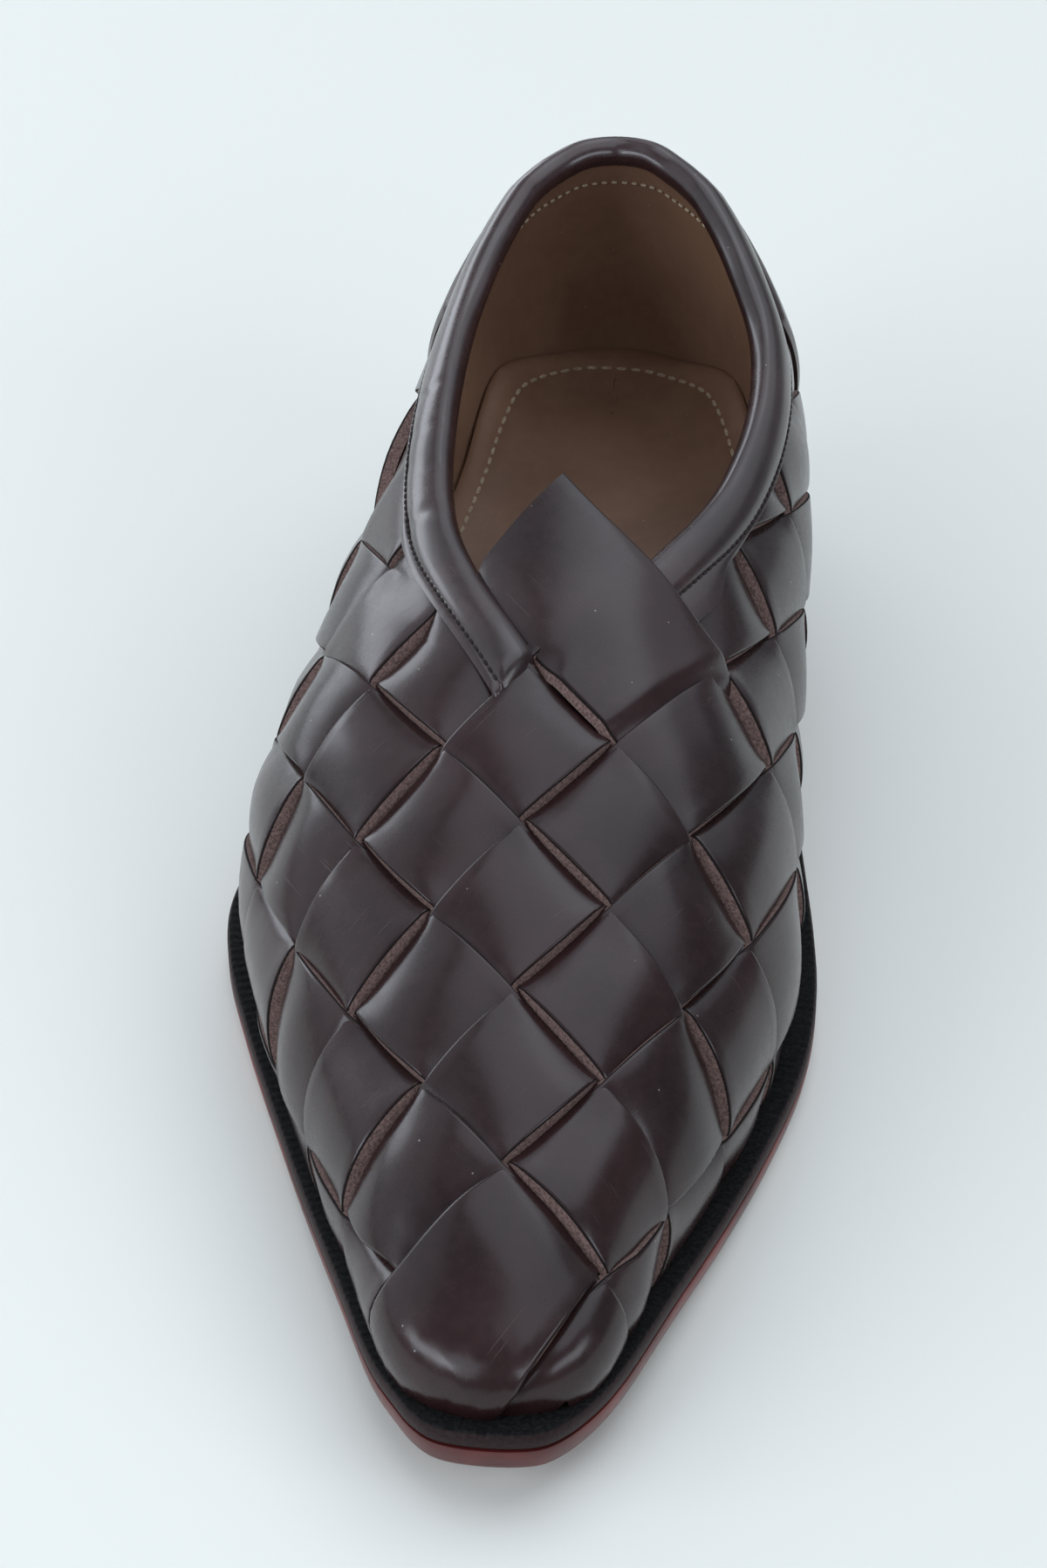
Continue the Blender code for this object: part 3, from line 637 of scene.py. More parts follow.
def strapShape(family, index, along, across, flat):
    # height of a strap's section on its way over and under, in a grid of rows and ring points
    cell = np.floor(along)
    over = isOver(family, index, cell)
    place = 2 * (along - cell) - 1
    turns = isOver(family, index, cell + np.where(place < 0, -1, 1)) != over
    away = np.where(turns, np.abs(place), 0.0)[:, None]
    over = over[:, None]
    arch = weave["arch"]
    slope = (np.hypot(away, arch) - arch) / (math.hypot(1.0, arch) - arch)
    spared = 1 - weave["side"] * (2 * across[None, :]) ** 4
    front = (place[:, None] < 0) == over
    drop = np.where(front, weave["near"][0], weave["far"][0]) * spared * flat
    dip = np.where(front, weave["near"][1], weave["far"][1]) * flat
    high = -drop * slope - dip * away ** weave["sharp"]
    high = high + weave["crown"] * (1 - slope) * (1 - (2 * across[None, :]) ** 2)
    low = -(drop + dip) * slope - (sum(weave["far"]) + weave["sink"]) * (1 - slope)
    thick = weave["thick"] * np.where(over, 1 - weave["thin"] * slope ** 2, weave["underThick"])
    height = np.where(over, high, low) - strapRing[:, 1]
    height = np.maximum(height, weave["deepest"]) - thick * strapRing[:, 2]
    height = np.maximum(height, weave["deepest"] - weave["flesh"] * strapRing[:, 2])
    return height, np.where(over, weave["overWide"] * (1 - slope), 0.0)


def makeWeave():
    points, faces, uvs, slots, tones = [], [], [], [], []
    first, final = weave["cells"]
    steps, count = weave["steps"], len(strapRing)
    inCell = 0.5 - 0.5 * np.cos(np.linspace(0.0, math.pi, steps + 1)[:-1])    # closer at a cell's ends
    along = np.append((np.arange(first, final)[:, None] + inCell).ravel(), final)
    cellLong, cellWide = weave["grainCell"]
    strapShift, familyShift = weave["grainShift"]
    riseFrom, riseRun = weave["toePuffRise"]
    offset = 0
    for family in ("right", "left"):
        way = 1 if family == "right" else -1
        for index in range(first, final):
            s = index + 0.5 + strapRing[:, 0] * weave["wide"]
            a, s = np.broadcast_arrays(along[:, None], s)
            u, v = weavePoint(*(a, s)[::way])
            nearBand = 1 - ease((-openingDepth(u, v) - weave["flatNear"]) / weave["flatRun"])
            flat = 1 - nearBand * ease((weave["flatFrom"] - u) / weave["flatRun"])
            height, extra = strapShape(family, index, along, strapRing[:, 0], flat)
            s = s + strapRing[:, 0] * extra
            u, v = weavePoint(*(a, s)[::way])
            past = gridRead(skinPast, u, v)
            fromTip = gridRead(skinPoints, u, v)[..., 1] - weave["toePuffFrom"]
            toe = 1 - ease(fromTip / weave["toePuffRun"])
            height = height + weave["toePuff"] * toe * ease((past - riseFrom) / riseRun)
            spots = onSkin(u, v, height)
            inside = (past < weave["pastWelt"]) & (spots[..., 1] < weave["rearEnd"])
            throat = np.hypot(u - collarLine[0, 0], v - collarLine[0, 1]) / weave["throatRun"]
            reach = weave["throatPast"] * (1 - ease(2 * throat))
            reach = reach - weave["underBand"] * ease(throat - weave["throatShare"])
            inside &= openingDepth(u, v) < reach
            if family == "left" and index == weave["tabIndex"]:
                inside &= a < weave["tabFrom"]
            if not inside.any():
                continue
            quads, used, local = keptFaces(inside, True)
            points.append(spots.reshape(-1, 3)[used])
            faces.append(local + offset)
            slots.append(strapSlots(quads[:, 0] % count))
            shift = familyShift if family == "left" else 0.0
            uv = pairs(a * cellLong + strapShift * index, s * cellWide + shift)
            uvs.append(uv.reshape(-1, 2)[used])
            tone = np.repeat(rng.uniform(-0.5, 0.5, final - first + 1), steps)[:len(along)]
            tones.append(np.repeat(tone, count)[used])
            offset += len(used)
    piece = meshPiece("woven_straps", np.vstack(points), np.vstack(faces), strapFinishes, np.vstack(uvs),
                      np.concatenate(slots))
    tone = piece.data.attributes.new("tone", "FLOAT", "POINT")
    tone.data.foreach_set("value", np.concatenate(tones).astype(np.float32))
    return piece


straps = makeWeave()
settle(straps, 50.0, "upper", "upper")
print("straps woven:", len(straps.data.polygons), "faces")

# pointed free end of one strap over the throat, corners on the unrolled skin
tab = {
    "bottom": (11.0, 86.4), "right": (33.4, 114.6), "left": (-14.8, 122.4), "top": (-2.0, 144.0),
    "rows": 56, "thick": 1.8,
    "level": 0.6,         # top of the tab over the straps beside it
    "lift": 1.9,          # and over the band's medial end
    "liftFrom": 0.12, "liftRun": 0.4, "bend": 0.9,
    "bulge": 3.0,         # its left side bows out by this much
    "bulgeWay": (0.75, 0.66),
    "waist": 2.8,         # and its right side in
    "waistWay": (0.64, 0.77),
    "press": 1.5,         # the left side is pressed down against the band
    "pressFrom": 0.3, "pressRun": 0.15, "pressWide": 0.14,
    "dip": 1.3,           # the lower end goes down under the next strap
    "dipRun": 0.09,
    "tuck": -0.12,        # and runs on for this share of the length
    "tuckDip": 3.0, "grain": (45.0, 27.0), "grainShift": 900.0,
}


def makeTab():
    corner = {name: np.array(tab[name]) for name in ("bottom", "right", "left", "top")}
    run = np.linspace(tab["tuck"], 1.0, tab["rows"])[:, None]
    share = (strapRing[:, 0] + 0.5)[None, :]
    spots = [corner["bottom"][k] * (1 - run) * (1 - share) + corner["left"][k] * run * (1 - share)
             + corner["right"][k] * (1 - run) * share + corner["top"][k] * run * share for k in (0, 1)]
    bow = 4 * np.clip(run * (1 - run), 0.0, 1.0)
    bulge = tab["bulge"] * bow * (1 - share) ** 2
    waist = tab["waist"] * bow * share ** 2
    spots = [spots[k] - tab["bulgeWay"][k] * bulge - tab["waistWay"][k] * waist for k in (0, 1)]
    lift = tab["lift"] * ease((run - tab["liftFrom"]) / tab["liftRun"]) * ease(share / tab["bend"])
    press = tab["press"] * ease((run - tab["pressFrom"]) / tab["pressRun"])
    press = press * (1 - ease(share / tab["pressWide"]))
    dip = tab["dip"] * (1 - ease(run / tab["dipRun"]))
    height = tab["level"] + lift - press - dip - tab["tuckDip"] * ease(run / tab["tuck"])
    height = height - strapRing[:, 1] - tab["thick"] * strapRing[:, 2]
    faces = tubeFaces(tab["rows"], len(strapRing))
    slots = list(strapSlots(np.arange(len(faces) - 2) % len(strapRing))) + [1, 1]    # both ends are cut
    long, wide = tab["grain"]
    uvs = pairs(run * long + tab["grainShift"], share * wide)
    return meshPiece("throat_tab_leather", onSkin(*spots, height), faces, strapFinishes, uvs, slots)


tabPiece = makeTab()
settle(tabPiece, 50.0, "throat_tab", "throat_tab")
print("tab made")

# folded band round the topline: distance below its top and height over the skin
band = {
    "section": (
        (9.6, -0.1), (9.6, 0.5), (9.0, 0.7), (8.3, 0.75), (7.9, 0.55), (7.5, 0.8),
        (7.0, 1.2), (5.8, 1.5), (4.0, 1.6), (2.2, 1.3), (1.0, 0.75), (0.25, 0.0),
        (-0.1, -0.9), (-0.1, -2.2), (0.2, -3.1), (0.9, -3.8), (2.0, -4.15), (3.6, -4.2),
        (3.7, -3.6), (2.0, -3.4), (1.6, -0.2),
    ),
    "flangeFrom": 8.3,
    "flangeLeast": 0.15,  # share of the flange that is left round the heel
    "flangeEnd": (42.0, 18.0),    # it narrows this far from the throat, over this much
    "medialFlange": 2.8,  # the flange is wider by this share on the medial side of the throat
    "medialFlangeEnd": (36.0, 12.0),
    "stations": 280,
    "straight": (9.0, 14.0),    # nearer to the throat's tip the lateral and medial arms run straight on
    "lateralStart": -9.0, "medialEnd": 18.0,
    "lateralDive": -2.8,  # the lateral end goes down to this under a strap, cut aslant
    "diveFrom": -0.6, "diveSlant": -0.6, "diveRun": 2.2,
    "medialDive": -2.2,   # and the medial end under the tab
    "medialRun": 6.0,
    "crease": 0.16,       # depth of the small creases where it turns on the lateral side
    "creaseWide": 1.3,
    "creases": (          # place, lean and size
        (44.0, 0.6, 1.0), (49.0, -0.5, 0.8), (58.0, 0.9, 0.9), (71.0, 0.4, 0.7), (86.0, -0.4, 0.6),
    ),
    "creaseAbove": 0.4,   # only the outer face has them
    "grainShift": 1300.0,
}


def belowBand(run, down, height):
    # as below the collar, with straight arms at the throat
    near, far = band["straight"]
    held = np.clip(run, near, collarRun[-1] - far)
    line, out = collarAt(held)
    ahead = unit(collarAt(held + 0.5)[0] - collarAt(held - 0.5)[0])
    return beside(line + ahead * (run - held)[..., None], out, down, height)


def makeBand():
    runs = np.linspace(band["lateralStart"], collarRun[-1] - band["medialEnd"], band["stations"])[:, None]
    down, height = np.array(band["section"]).T[:, None, :]
    fromThroat = np.minimum(runs, collarRun[-1] - runs)
    end, over = band["flangeEnd"]
    flange = band["flangeLeast"] + (1 - band["flangeLeast"]) * (1 - ease((fromThroat - end) / over))
    end, over = band["medialFlangeEnd"]
    medial = (runs > collarRun[-1] / 2) * (1 - ease((fromThroat - end) / over))
    flange = flange + band["medialFlange"] * medial
    start = band["flangeFrom"]
    down = np.where(down > start, start + (down - start) * flange, down)
    under = 1 - ease((runs - band["diveFrom"] - band["diveSlant"] * down) / band["diveRun"])
    height = height + (band["lateralDive"] - height) * under
    under = 1 - ease((runs[-1] - runs) / band["medialRun"])
    height = height + (band["medialDive"] - height) * under
    for place, lean, size in band["creases"]:
        crease = np.exp(-((runs - place - lean * down) / band["creaseWide"]) ** 2)
        height = height - band["crease"] * size * crease * (down < start) * (height > band["creaseAbove"])
    uvs = pairs(runs, np.array(band["section"])[:, 0] + band["grainShift"])
    faces = tubeFaces(band["stations"], len(band["section"]))
    return meshPiece("collar_fold", belowBand(runs, down, height), faces, [foldLeatherSheen], uvs)


bandPiece = makeBand()
settle(bandPiece, 60.0, "collar_band", "collar_band")
print("band folded")

# smooth heel piece between the band and the welt
counter = {
    "front": 236.0, "stations": 90, "rows": 34, "top": 8.8, "foot": 0.5, "low": 0.3, "thick": 1.3,
    "edge": (0.35, 1.6),  # share of the thickness at its edge, all of it from this far in
    "shell": 1.0,
    "longest": 120.0,     # its foot is looked for down to here
    "tries": 600,
    "grainShift": 1600.0,
}


def makeCounter():
    rear = collarRun[collarPlan[:, 1] > counter["front"]]
    runs = np.linspace(rear.min(), rear.max(), counter["stations"])
    line, out = collarAt(runs)
    downs = np.linspace(counter["top"], counter["longest"], counter["tries"])
    past = gridRead(skinPast, line[:, :1] + out[:, :1] * downs, line[:, 1:] + out[:, 1:] * downs)
    foot = downs[np.argmax(past > -counter["foot"], axis=1)]
    share = np.linspace(0.0, 1.0, counter["rows"])[None, :]
    down = counter["top"] + (foot[:, None] - counter["top"]) * share
    edge = np.minimum(np.minimum(down - counter["top"], foot[:, None] - down),
                      np.minimum(runs - runs[0], runs[-1] - runs)[:, None])
    least, over = counter["edge"]
    height = counter["low"] + counter["thick"] * (least + (1 - least) * ease(edge / over))
    uvs = pairs(runs[:, None], down + counter["grainShift"])
    faces = gridFaces(counter["stations"], counter["rows"])[:, ::-1]
    piece = meshPiece("heel_counter", belowCollar(runs[:, None], down, height), faces, [smoothLeather], uvs)
    applyModifier(piece, "SOLIDIFY", thickness=counter["shell"] * mm, offset=-1.0)
    return piece


counterPiece = makeCounter()
settle(counterPiece, 40.0, "counter", "counter")
print("counter made")

# brown lining inside the wall
lining = {
    "height": -3.45, "thick": 0.45, "step": 2.0, "underBand": 1.9, "pastWelt": 2.0, "grainShift": 2000.0,
}


def makeLining():
    us = np.arange(*last["gridAcross"], lining["step"])
    vs = np.arange(*last["gridAlong"], lining["step"])
    v, u = np.meshgrid(vs, us, indexing="ij")
    inside = (gridRead(skinPast, u, v) < lining["pastWelt"]) & (openingDepth(u, v) < -lining["underBand"])
    used, local = keptFaces(inside)[1:]
    spots = onSkin(u, v, lining["height"]).reshape(-1, 3)[used]
    uvs = pairs(u, v + lining["grainShift"]).reshape(-1, 2)[used]
    piece = meshPiece("lining", spots, local, [liningLeather], uvs)
    applyModifier(piece, "SOLIDIFY", thickness=lining["thick"] * mm, offset=-1.0)
    return piece


liningPiece = makeLining()
settle(liningPiece, 60.0, "insole")
print("lining made")


def fannedPlate(name, loop, profile, low, high, finishes, centre=None):
    # plate from its outline inwards: rows of inset, share of the way to the spine, level and lift
    inward = inwardWays(loop)
    if centre is None:
        front, rear = sole["spineEnds"]
        spineY = np.clip(loop[:, 1], loop[:, 1].min() + front, loop[:, 1].max() - rear)
        spine = pairs(lastValue("ridgeX", spineY), spineY)
    else:
        spine = np.broadcast_to(centre, loop.shape)
    inward *= np.sign(np.sum(inward * (spine - loop), axis=1)).mean()
    run = runAlong(loop)
    rings, uvs, travel = [], [], 0.0
    for inset, share, level, lift in profile:
        plan = loop + inward * np.reshape(inset, (-1, 1))
        plan = plan * (1 - share) + spine * share
        z = low(plan[:, 1]) * (1 - level) + high(plan[:, 1]) * level + lift
        rings.append(np.column_stack([plan, z]))
        if len(rings) > 1:
            travel += float(np.linalg.norm(rings[-1] - rings[-2], axis=1).mean())
        uvs.append(pairs(run, travel))
    faces = gridFaces(len(rings), len(loop), True)
    return meshPiece(name, np.array(rings), faces, finishes, np.array(uvs))


def evenLoop(loop, count):
    closed = np.vstack([loop, loop[:1]])
    run = runAlong(closed)
    return pointsAt(np.linspace(0.0, run[-1], count, endpoint=False), run, closed)


def weltFinish():
    # black fibrous ledge with fine ribs across it, dark brown on its trimmed edge
    material, shader, place = newFinish("welt_black", Specular_IOR_Level=0.16)
    run = place.node("ShaderNodeUVMap", {"uv_map": "run"}, {})
    rib = run.node("ShaderNodeTexWave", {}, {
        "Vector": run.scaled((1.0, 0.12, 0.0)), "Scale": 0.16, "Distortion": 1.2, "Detail": 2.0,
        "Detail Scale": 1.5})
    fibre = place.noise(1.6, 4.0, 0.7)
    split = run.node("ShaderNodeSeparateXYZ", {}, {"Vector": run}, 1)
    edge = split.band(*weltRim)
    top = fibre.band(0.35, 0.75).mixed(rgb(0.002, 0.002, 0.002), rgb(0.017, 0.0165, 0.0165))
    side = fibre.band(0.35, 0.7).mixed(rgb(0.016, 0.008, 0.0085), rgb(0.032, 0.017, 0.018))
    height = rib * 0.7 * (1.0 - edge) + fibre * (0.8 - edge * 0.5)
    feed(shader, Base_Color=edge.mixed(top, side), Roughness=0.85 - edge * 0.33,
         Normal=height.bump(0.55, 0.5 * mm))
    return material


def soleFinish():
    # burnished red leather, darker where it is worn
    material, shader, place = newFinish("sole_red", Specular_IOR_Level=0.5, Coat_Roughness=0.3)
    run = place.node("ShaderNodeUVMap", {"uv_map": "run"}, {})
    grain = run.scaled((0.35, 2.2, 1.0)).noise(1.0, 4.0, 0.6)
    cloud = place.noise(0.06, 3.0).band(0.35, 0.68)
    wear = place.noise(0.9, 4.0, 0.65).band(0.5, 0.75)
    colour = cloud.mixed(rgb(0.075, 0.0095, 0.009), rgb(0.16, 0.017, 0.013))
    colour = (wear * 0.35).mixed(colour, rgb(0.05, 0.014, 0.014))
    feed(shader, Base_Color=colour, Roughness=0.36 + grain * 0.2, Coat_Weight=0.25 + cloud * 0.1,
         Normal=(grain * 0.6 + wear * 0.3).bump(0.2, 0.3 * mm))
    return material


# inset, share of the way to the spine, level and lift
weltRows = (
    (20.0, 0.0, 0.0, 0.0), (0.5, 0.0, 0.0, 0.0), (0.1, 0.0, 0.0, 0.35), (0.0, 0.0, 0.5, 0.0),
    (0.1, 0.0, 1.0, -0.55), (0.45, 0.0, 1.0, -0.12), (0.95, 0.0, 1.0, 0.0), (2.5, 0.0, 1.0, 0.0),
    (5.0, 0.0, 1.0, 0.0), (9.0, 0.0, 1.0, 0.0), (14.0, 0.0, 1.0, 0.0), (20.0, 0.0, 1.0, 0.0),
    (20.0, 0.0, 0.0, 0.0),
)
weltRim = (22.9, 22.3)    # run along these rows where the ledge begins and the edge ends
soleRows = (
    (0.7, 1.0, 0.0, 0.0), (0.7, 0.6, 0.0, 0.0), (0.7, 0.3, 0.0, 0.0), (4.0, 0.0, 0.0, 0.0),
    (1.2, 0.0, 0.0, 0.0), (0.75, 0.0, 0.0, 0.12), (0.5, 0.0, 0.0, 0.55), (0.25, 0.0, 0.5, 0.0),
    (0.0, 0.0, 1.0, -0.4), (0.15, 0.0, 1.0, -0.08), (0.5, 0.0, 1.0, 0.0), (4.0, 0.0, 1.0, 0.0),
    (4.0, 0.4, 1.0, 0.0), (4.0, 1.0, 1.0, 0.0),
)
soleRing = evenLoop(soleLoop, sole["points"])
weltPiece = fannedPlate("ribbed_welt", soleRing, weltRows,
                        lambda y: underside(y) + sole["thick"] + sole["seam"], weltTop, [weltFinish()])
settle(weltPiece, 50.0, "welt", "welt", weld=True)

solePiece = fannedPlate("red_sole", soleRing, soleRows, underside,
                        lambda y: underside(y) + sole["thick"], [soleFinish()])
settle(solePiece, 50.0, "outsole", "outsole", weld=True)
print("welt and sole made")

# stacked heel under the seat
heel = {
    "breast": 224.0, "height": 21.0, "inset": 0.4, "taper": 1.4, "lifts": 3, "topPiece": 5.5, "groove": 0.22,
    "lip": 0.3,           # half the width of a groove
    "footInset": 2.2, "footLift": 0.4, "seatInset": 2.0, "points": 260, "frontPoints": 30,
}


def makeHeel():
    rear = soleRing[soleRing[:, 1] > heel["breast"]]
    order = np.argsort(np.arctan2(rear[:, 0], rear[:, 1] - heel["breast"]))
    rear = rear[order]
    straight = np.linspace(0.0, 1.0, heel["frontPoints"])[1:-1, None]
    front = rear[-1:] * (1 - straight) + rear[:1] * straight
    loop = evenLoop(np.vstack([rear, front]), heel["points"])
    inset, lip = heel["inset"], heel["lip"]
    profile = [(heel["footInset"], 1.0, 0.0, 0.0), (heel["footInset"], 0.0, 0.0, 0.0),
               (inset + heel["taper"], 0.0, 0.0, heel["footLift"])]
    for cut in np.linspace(heel["topPiece"] / heel["height"], 1.0, heel["lifts"] + 1)[:-1]:
        side = inset + heel["taper"] * (1 - cut)
        profile += [(side, 0.0, cut, -lip), (side + heel["groove"], 0.0, cut, 0.0), (side, 0.0, cut, lip)]
    profile += [(inset, 0.0, 1.0, -lip), (inset + lip, 0.0, 1.0, 0.0), (heel["seatInset"], 1.0, 1.0, 0.0)]
    material, shader, place = newFinish("heel_stack", Coat_Roughness=0.3)
    grain = place.scaled((0.5, 0.5, 5.0)).noise(1.0, 4.0, 0.6)
    colour = grain.band(0.3, 0.7).mixed(rgb(0.018, 0.009, 0.008), rgb(0.055, 0.022, 0.018))
    feed(shader, Base_Color=colour, Roughness=0.4 + grain * 0.15, Coat_Weight=0.2 + grain * 0.05,
         Normal=grain.bump(0.15, 0.3 * mm))
    middle = np.array((0.0, (heel["breast"] + rear[:, 1].max()) / 2))
    return fannedPlate("stacked_heel", loop, profile, lambda y: np.zeros(len(y)),
                       lambda y: underside(y) - sole["seam"], [material], middle)


heelPiece = makeHeel()
settle(heelPiece, 35.0, "heel", "heel", weld=True)
print("heel stacked")

# footbed with a stitched heel sock whose margin curls up the wall
insole = {
    "clear": 0.85, "thick": 2.6, "wall": 3.0, "curl": 2.0,
    "cornerCurl": 6.0,    # more at the two sides
    "cornerTurn": 75.0, "cornerSpread": 42.0,
    "lean": 0.3,          # out towards the wall as it rises
    "margin": 3.4,        # of the stitch line at the sides
    "rearMargin": 6.0,    # and at the back
    "cup": 9.0,           # inside the stitch line it falls to the flat over this much
    "rearSpread": 28.0,
    "turnBack": 8.0,      # its turns are read from a centre this far forward of the heel's
    "under": ((3.0, 1.0, 0.0, 0.0), (3.0, 0.0, 0.0, 0.0), (0.3, 0.0, 0.0, 0.0), (0.0, 0.0, 0.5, 0.0)),
    # from the edge to the stitch line: shares of lean and margin, inset, share of the curl
    "marginRows": (
        (1.0, 0.0, 0.0, 1.0), (1.0, 0.0, 0.35, 1.04), (0.8, 0.3, 0.0, 1.02), (0.6, 0.6, 0.0, 0.92),
        (0.45, 0.85, 0.0, 0.76), (0.4, 1.0, 0.0, 0.6),
    ),
    "cupRows": ((0.3, 0.5), (0.6, 0.16), (1.0, 0.0)),
    "flatRows": (0.35, 0.7, 1.0),
    "stations": 120, "turns": 70, "points": 360,
}
# the sock is darker than the margin: partly its own worn leather, partly painted shade inside the stitch
# line
sockWornAndShaded = leatherFinish("sock_leather_worn_and_shaded", {
    **leather, "dark": rgb(0.15, 0.08, 0.048), "light": rgb(0.225, 0.127, 0.08),
    "scuff": rgb(0.3, 0.2, 0.14), "rough": 0.5, "coat": 0.0, "grain": 0.25, "scratch": 0.3})


def insoleLoop():
    centreY = np.linspace(toeY, heelY, insole["stations"])
    turn = np.linspace(-math.pi / 2, math.pi / 2, insole["turns"])[1:-1]
    rays = [(y, 1.0, 0.0, 0.0) for y in centreY]
    rays += [(heelY, math.sin(-a), math.cos(a), 1.0) for a in turn]
    rays += [(y, -1.0, 0.0, 0.0) for y in centreY[::-1]]
    rays += [(toeY, math.sin(a), -math.cos(a), -1.0) for a in turn]
    rays = np.array(rays)
    reach = rayReach(*rays.T)
    reach = reach - lastValue("tuck", rays[:, 0] + rays[:, 2] * reach) - insole["wall"] - insole["clear"]
    return pairs(lastValue("ridgeX", rays[:, 0]) + rays[:, 1] * reach, rays[:, 0] + rays[:, 2] * reach)


def insoleTop(y):
    return weltTop(y) + sole["seam"] + insole["thick"]


insoleRing = evenLoop(insoleLoop(), insole["points"])
turn = insoleRing - (heelX, heelY - insole["turnBack"])
turn = np.degrees(np.arctan2(*turn.T))
curl = np.exp(-((np.abs(turn) - insole["cornerTurn"]) / insole["cornerSpread"]) ** 2)
curl = insole["curl"] + insole["cornerCurl"] * curl
margin = np.exp(-(turn / insole["rearSpread"]) ** 2)
margin = insole["margin"] + (insole["rearMargin"] - insole["margin"]) * margin
insoleRows = list(insole["under"])
for lean, share, inset, lift in insole["marginRows"]:
    seam, seamLift = margin * share - insole["lean"] * curl * lean + inset, curl * lift
    insoleRows.append((seam, 0.0, 1.0, seamLift))
sockRow = len(insoleRows) - 1
cup = insole["cup"]
insoleRows += [(seam + cup * share, 0.0, 1.0, seamLift * lift) for share, lift in insole["cupRows"]]
insoleRows += [(seam + cup, share, 1.0, 0.0) for share in insole["flatRows"]]
insolePiece = fannedPlate("footbed", insoleRing, insoleRows, lambda y: weltTop(y) + sole["seam"], insoleTop,
                          (liningLeather, sockWornAndShaded))
# faces inside the stitch line take the darker sock leather, partly painted shade
row = np.arange(len(insolePiece.data.polygons)) // len(insoleRing)
insolePiece.data.polygons.foreach_set("material_index", (row >= sockRow).astype(np.int32))
settle(insolePiece, 50.0, "insole", "insole", weld=True)
print("footbed made")

# threads: small ovals along a line, lying on a surface
thread = {
    "sides": 8, "rings": 5, "blunt": 0.6,
    "sink": 0.25,         # let in by this share of the radius
    "spread": (0.9, 1.1), "ahead": 0.2,
}


def stitchRow(name, path, normals, look, finish, slot):
    run = runAlong(path)
    at = np.arange(look["pitch"] / 2, run[-1], look["pitch"])
    place = pointsAt(at, run, path)
    way = unit(pointsAt(at + thread["ahead"], run, path) - pointsAt(at - thread["ahead"], run, path))
    normal = pointsAt(at, run, normals)
    normal = unit(normal - way * np.sum(normal * way, axis=1)[:, None])
    side = np.cross(way, normal)
    sides, radius = thread["sides"], look["radius"]
    polarAngle = np.linspace(0.0, math.pi, thread["rings"] + 2)[1:-1]
    roundAngle = np.linspace(0.0, 2 * math.pi, sides, endpoint=False)
    body = [(-1.0, 0.0, 0.0)]
    for angle in polarAngle:
        wide = math.sin(angle) ** thread["blunt"]
        body += [(-math.cos(angle), wide * math.cos(a), wide * math.sin(a)) for a in roundAngle]
    body = np.array(body + [(1.0, 0.0, 0.0)])
    tip = len(body) - 1
    faces = [(0, 1 + (k + 1) % sides, 1 + k) for k in range(sides)]
    faces += [tuple(f + 1) for f in gridFaces(thread["rings"], sides, True)]
    faces += [(tip, tip - sides + k, tip - sides + (k + 1) % sides) for k in range(sides)]
    size = rng.uniform(*thread["spread"], len(at))[:, None, None]
    points = place[:, None, :] + way[:, None, :] * body[None, :, :1] * look["length"] / 2 * size
    points += side[:, None, :] * body[None, :, 1:2] * radius
    points += normal[:, None, :] * (body[None, :, 2:3] * radius - radius * thread["sink"])
    every = [tuple(v + k * len(body) for v in face) for k in range(len(at)) for face in faces]
    settle(meshPiece(name, points, every, [finish]), 80.0, slot)


def threadFinish(name, dark, light):
    material, shader, place = newFinish(name, Specular_IOR_Level=0.3)
    twist = place.noise(2.4, 3.0, 0.7)
    feed(shader, Base_Color=twist.band(0.35, 0.65).mixed(dark, light), Roughness=0.65 + twist * 0.2,
         Normal=twist.bump(0.5, 0.2 * mm))
    return material


creamThread = threadFinish("cream_thread", rgb(0.28, 0.21, 0.14), rgb(0.5, 0.41, 0.3))
darkThread = threadFinish("dark_thread", rgb(0.008, 0.005, 0.005), rgb(0.022, 0.014, 0.013))


def stitchLine(surface, runs, down, height, outward):
    path = surface(runs, down, height)
    return path, surface(runs, down, height + outward) - path


bandStitch = {
    "pitch": 1.9, "length": 1.55, "radius": 0.36, "down": 7.9, "height": 0.65, "ends": (1.5, 1.0),
    "points": 900,
}
start, end = bandStitch["ends"]
start, end = band["diveFrom"] - start, collarRun[-1] - band["medialEnd"] - end
runs = np.linspace(start, end, bandStitch["points"])
path, normals = stitchLine(belowBand, runs, bandStitch["down"], bandStitch["height"], 1.0)
stitchRow("band_stitches", path, normals, bandStitch, darkThread, "collar_band")

liningStitch = {
    "pitch": 2.0, "length": 1.3, "radius": 0.3, "reach": 62.0, "down": 10.6, "rise": 5.4, "height": -4.2,
    "points": 500,
}
arc = np.linspace(-1.0, 1.0, liningStitch["points"])
runs = collarRun[np.argmax(collarPlan[:, 1])] + arc * liningStitch["reach"]
down = liningStitch["down"] - liningStitch["rise"] * arc ** 2
path, normals = stitchLine(belowCollar, runs, down, liningStitch["height"], -1.0)
stitchRow("lining_stitches", path, normals, liningStitch, creamThread, "insole")

sockStitch = {"pitch": 3.0, "length": 2.2, "radius": 0.46, "front": 168.0, "centre": 180.0, "tilt": 0.08}
inward = inwardWays(insoleRing)
sock = insoleRing + inward * seam[:, None]
path = np.column_stack([sock, insoleTop(sock[:, 1]) + seamLift])
normals = np.column_stack([inward * sockStitch["tilt"] * curl[:, None], np.ones(len(sock))])
order = np.argsort(np.arctan2(sock[:, 0], sock[:, 1] - sockStitch["centre"]))
order = order[insoleRing[order, 1] > sockStitch["front"]]
stitchRow("sock_stitches", path[order], normals[order], sockStitch, creamThread, "insole")
print("stitches sewn")

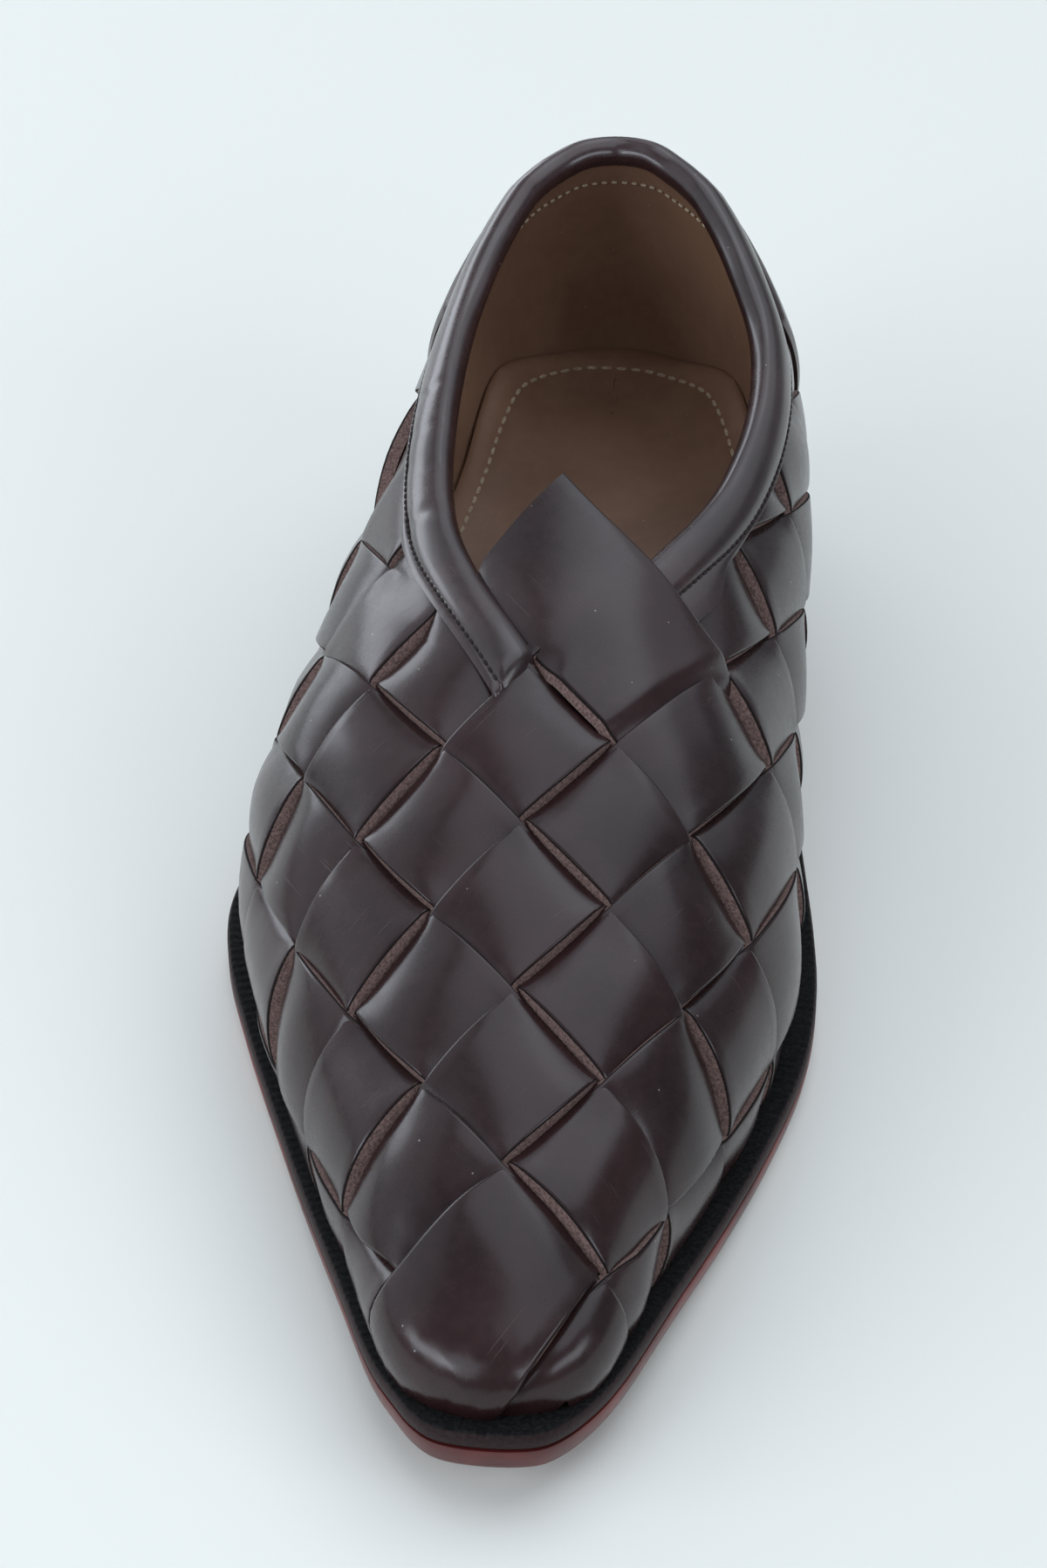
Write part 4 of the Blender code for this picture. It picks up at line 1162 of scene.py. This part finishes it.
# pale floor, soft light and the photograph's angle
studio = {
    "floor": rgb(0.83, 0.84, 0.79), "floorSize": 12.0, "floorDrop": 0.1 * mm, "light": (0.86, 0.92, 1.0),
    "left": rgb(0.26, 0.28, 0.31),     # the room to the left and above
    "right": rgb(0.18, 0.196, 0.217),  # and to the right, low
    "tilt": 0.35, "blend": 0.75,
    "camera": (0.0551, -0.5517, 0.4367), "aim": (0.0, -0.012, 0.036), "lens": 91.0, "roll": -0.5,
}
bpy.ops.mesh.primitive_plane_add(size=studio["floorSize"], location=(0.0, 0.0, -studio["floorDrop"]))
floor = bpy.context.active_object
floor.name = "studio_floor"
floor.data.materials.append(newFinish("floor_pale", Base_Color=studio["floor"], Roughness=0.6)[0])
floor.select_set(False)

bpy.context.scene.view_settings.view_transform = "Standard"
world = bpy.data.worlds.new("studio")
bpy.context.scene.world = world
world.use_nodes = True
room = Wire(world.node_tree, None).node("ShaderNodeTexCoord", {}, {}, 0)
toRight = room.node("ShaderNodeSeparateXYZ", {}, {"Vector": room}, 0)
upwards = room.node("ShaderNodeSeparateXYZ", {}, {"Vector": room}, 2)
wall = (toRight - upwards * studio["tilt"]).band(studio["blend"], -studio["blend"])
background = world.node_tree.nodes["Background"].inputs["Color"]
plug(world.node_tree, background, wall.mixed(studio["right"], studio["left"]))


def setUp(name, data, place, aim, roll=0.0):
    # lamp or camera looking at a point
    made = bpy.data.objects.new(name, data)
    made.location = place
    look = (Vector(aim) - Vector(place)).to_track_quat("-Z", "Y").to_matrix().to_4x4()
    made.rotation_euler = (look @ Matrix.Rotation(math.radians(roll), 4, "Z")).to_euler()
    bpy.context.scene.collection.objects.link(made)
    return made


lights = {                # place, size and power
    "window": ((-1.3, 0.55, 0.85), (1.5, 1.5), 4.0),
    "lowWindow": ((-1.0, 1.25, 0.4), (1.3, 0.5), 6.0),
    "strip": ((-1.05, -0.72, 0.62), (1.2, 0.35), 7.0),
    "right": ((0.95, -0.72, 0.7), (1.2, 0.4), 5.5),
    "rear": ((0.5, 1.25, 1.15), (2.0, 1.2), 5.0),
    "over": ((0.3, 0.35, 1.5), (1.7, 1.7), 12.2),
    "front": ((-0.7, -1.2, 0.9), (0.9, 0.9), 4.2),
}
for name, (place, size, power) in lights.items():
    lamp = bpy.data.lights.new(name, "AREA")
    lamp.shape = "RECTANGLE"
    lamp.size, lamp.size_y = size
    lamp.color = studio["light"]
    lamp.energy = power
    setUp(name, lamp, place, (0.0, 0.0, 0.0))

cameraData = bpy.data.cameras.new("photo_view")
cameraData.lens = studio["lens"]
camera = setUp("photo_view", cameraData, studio["camera"], studio["aim"], studio["roll"])
bpy.context.scene.camera = camera
print("studio set")
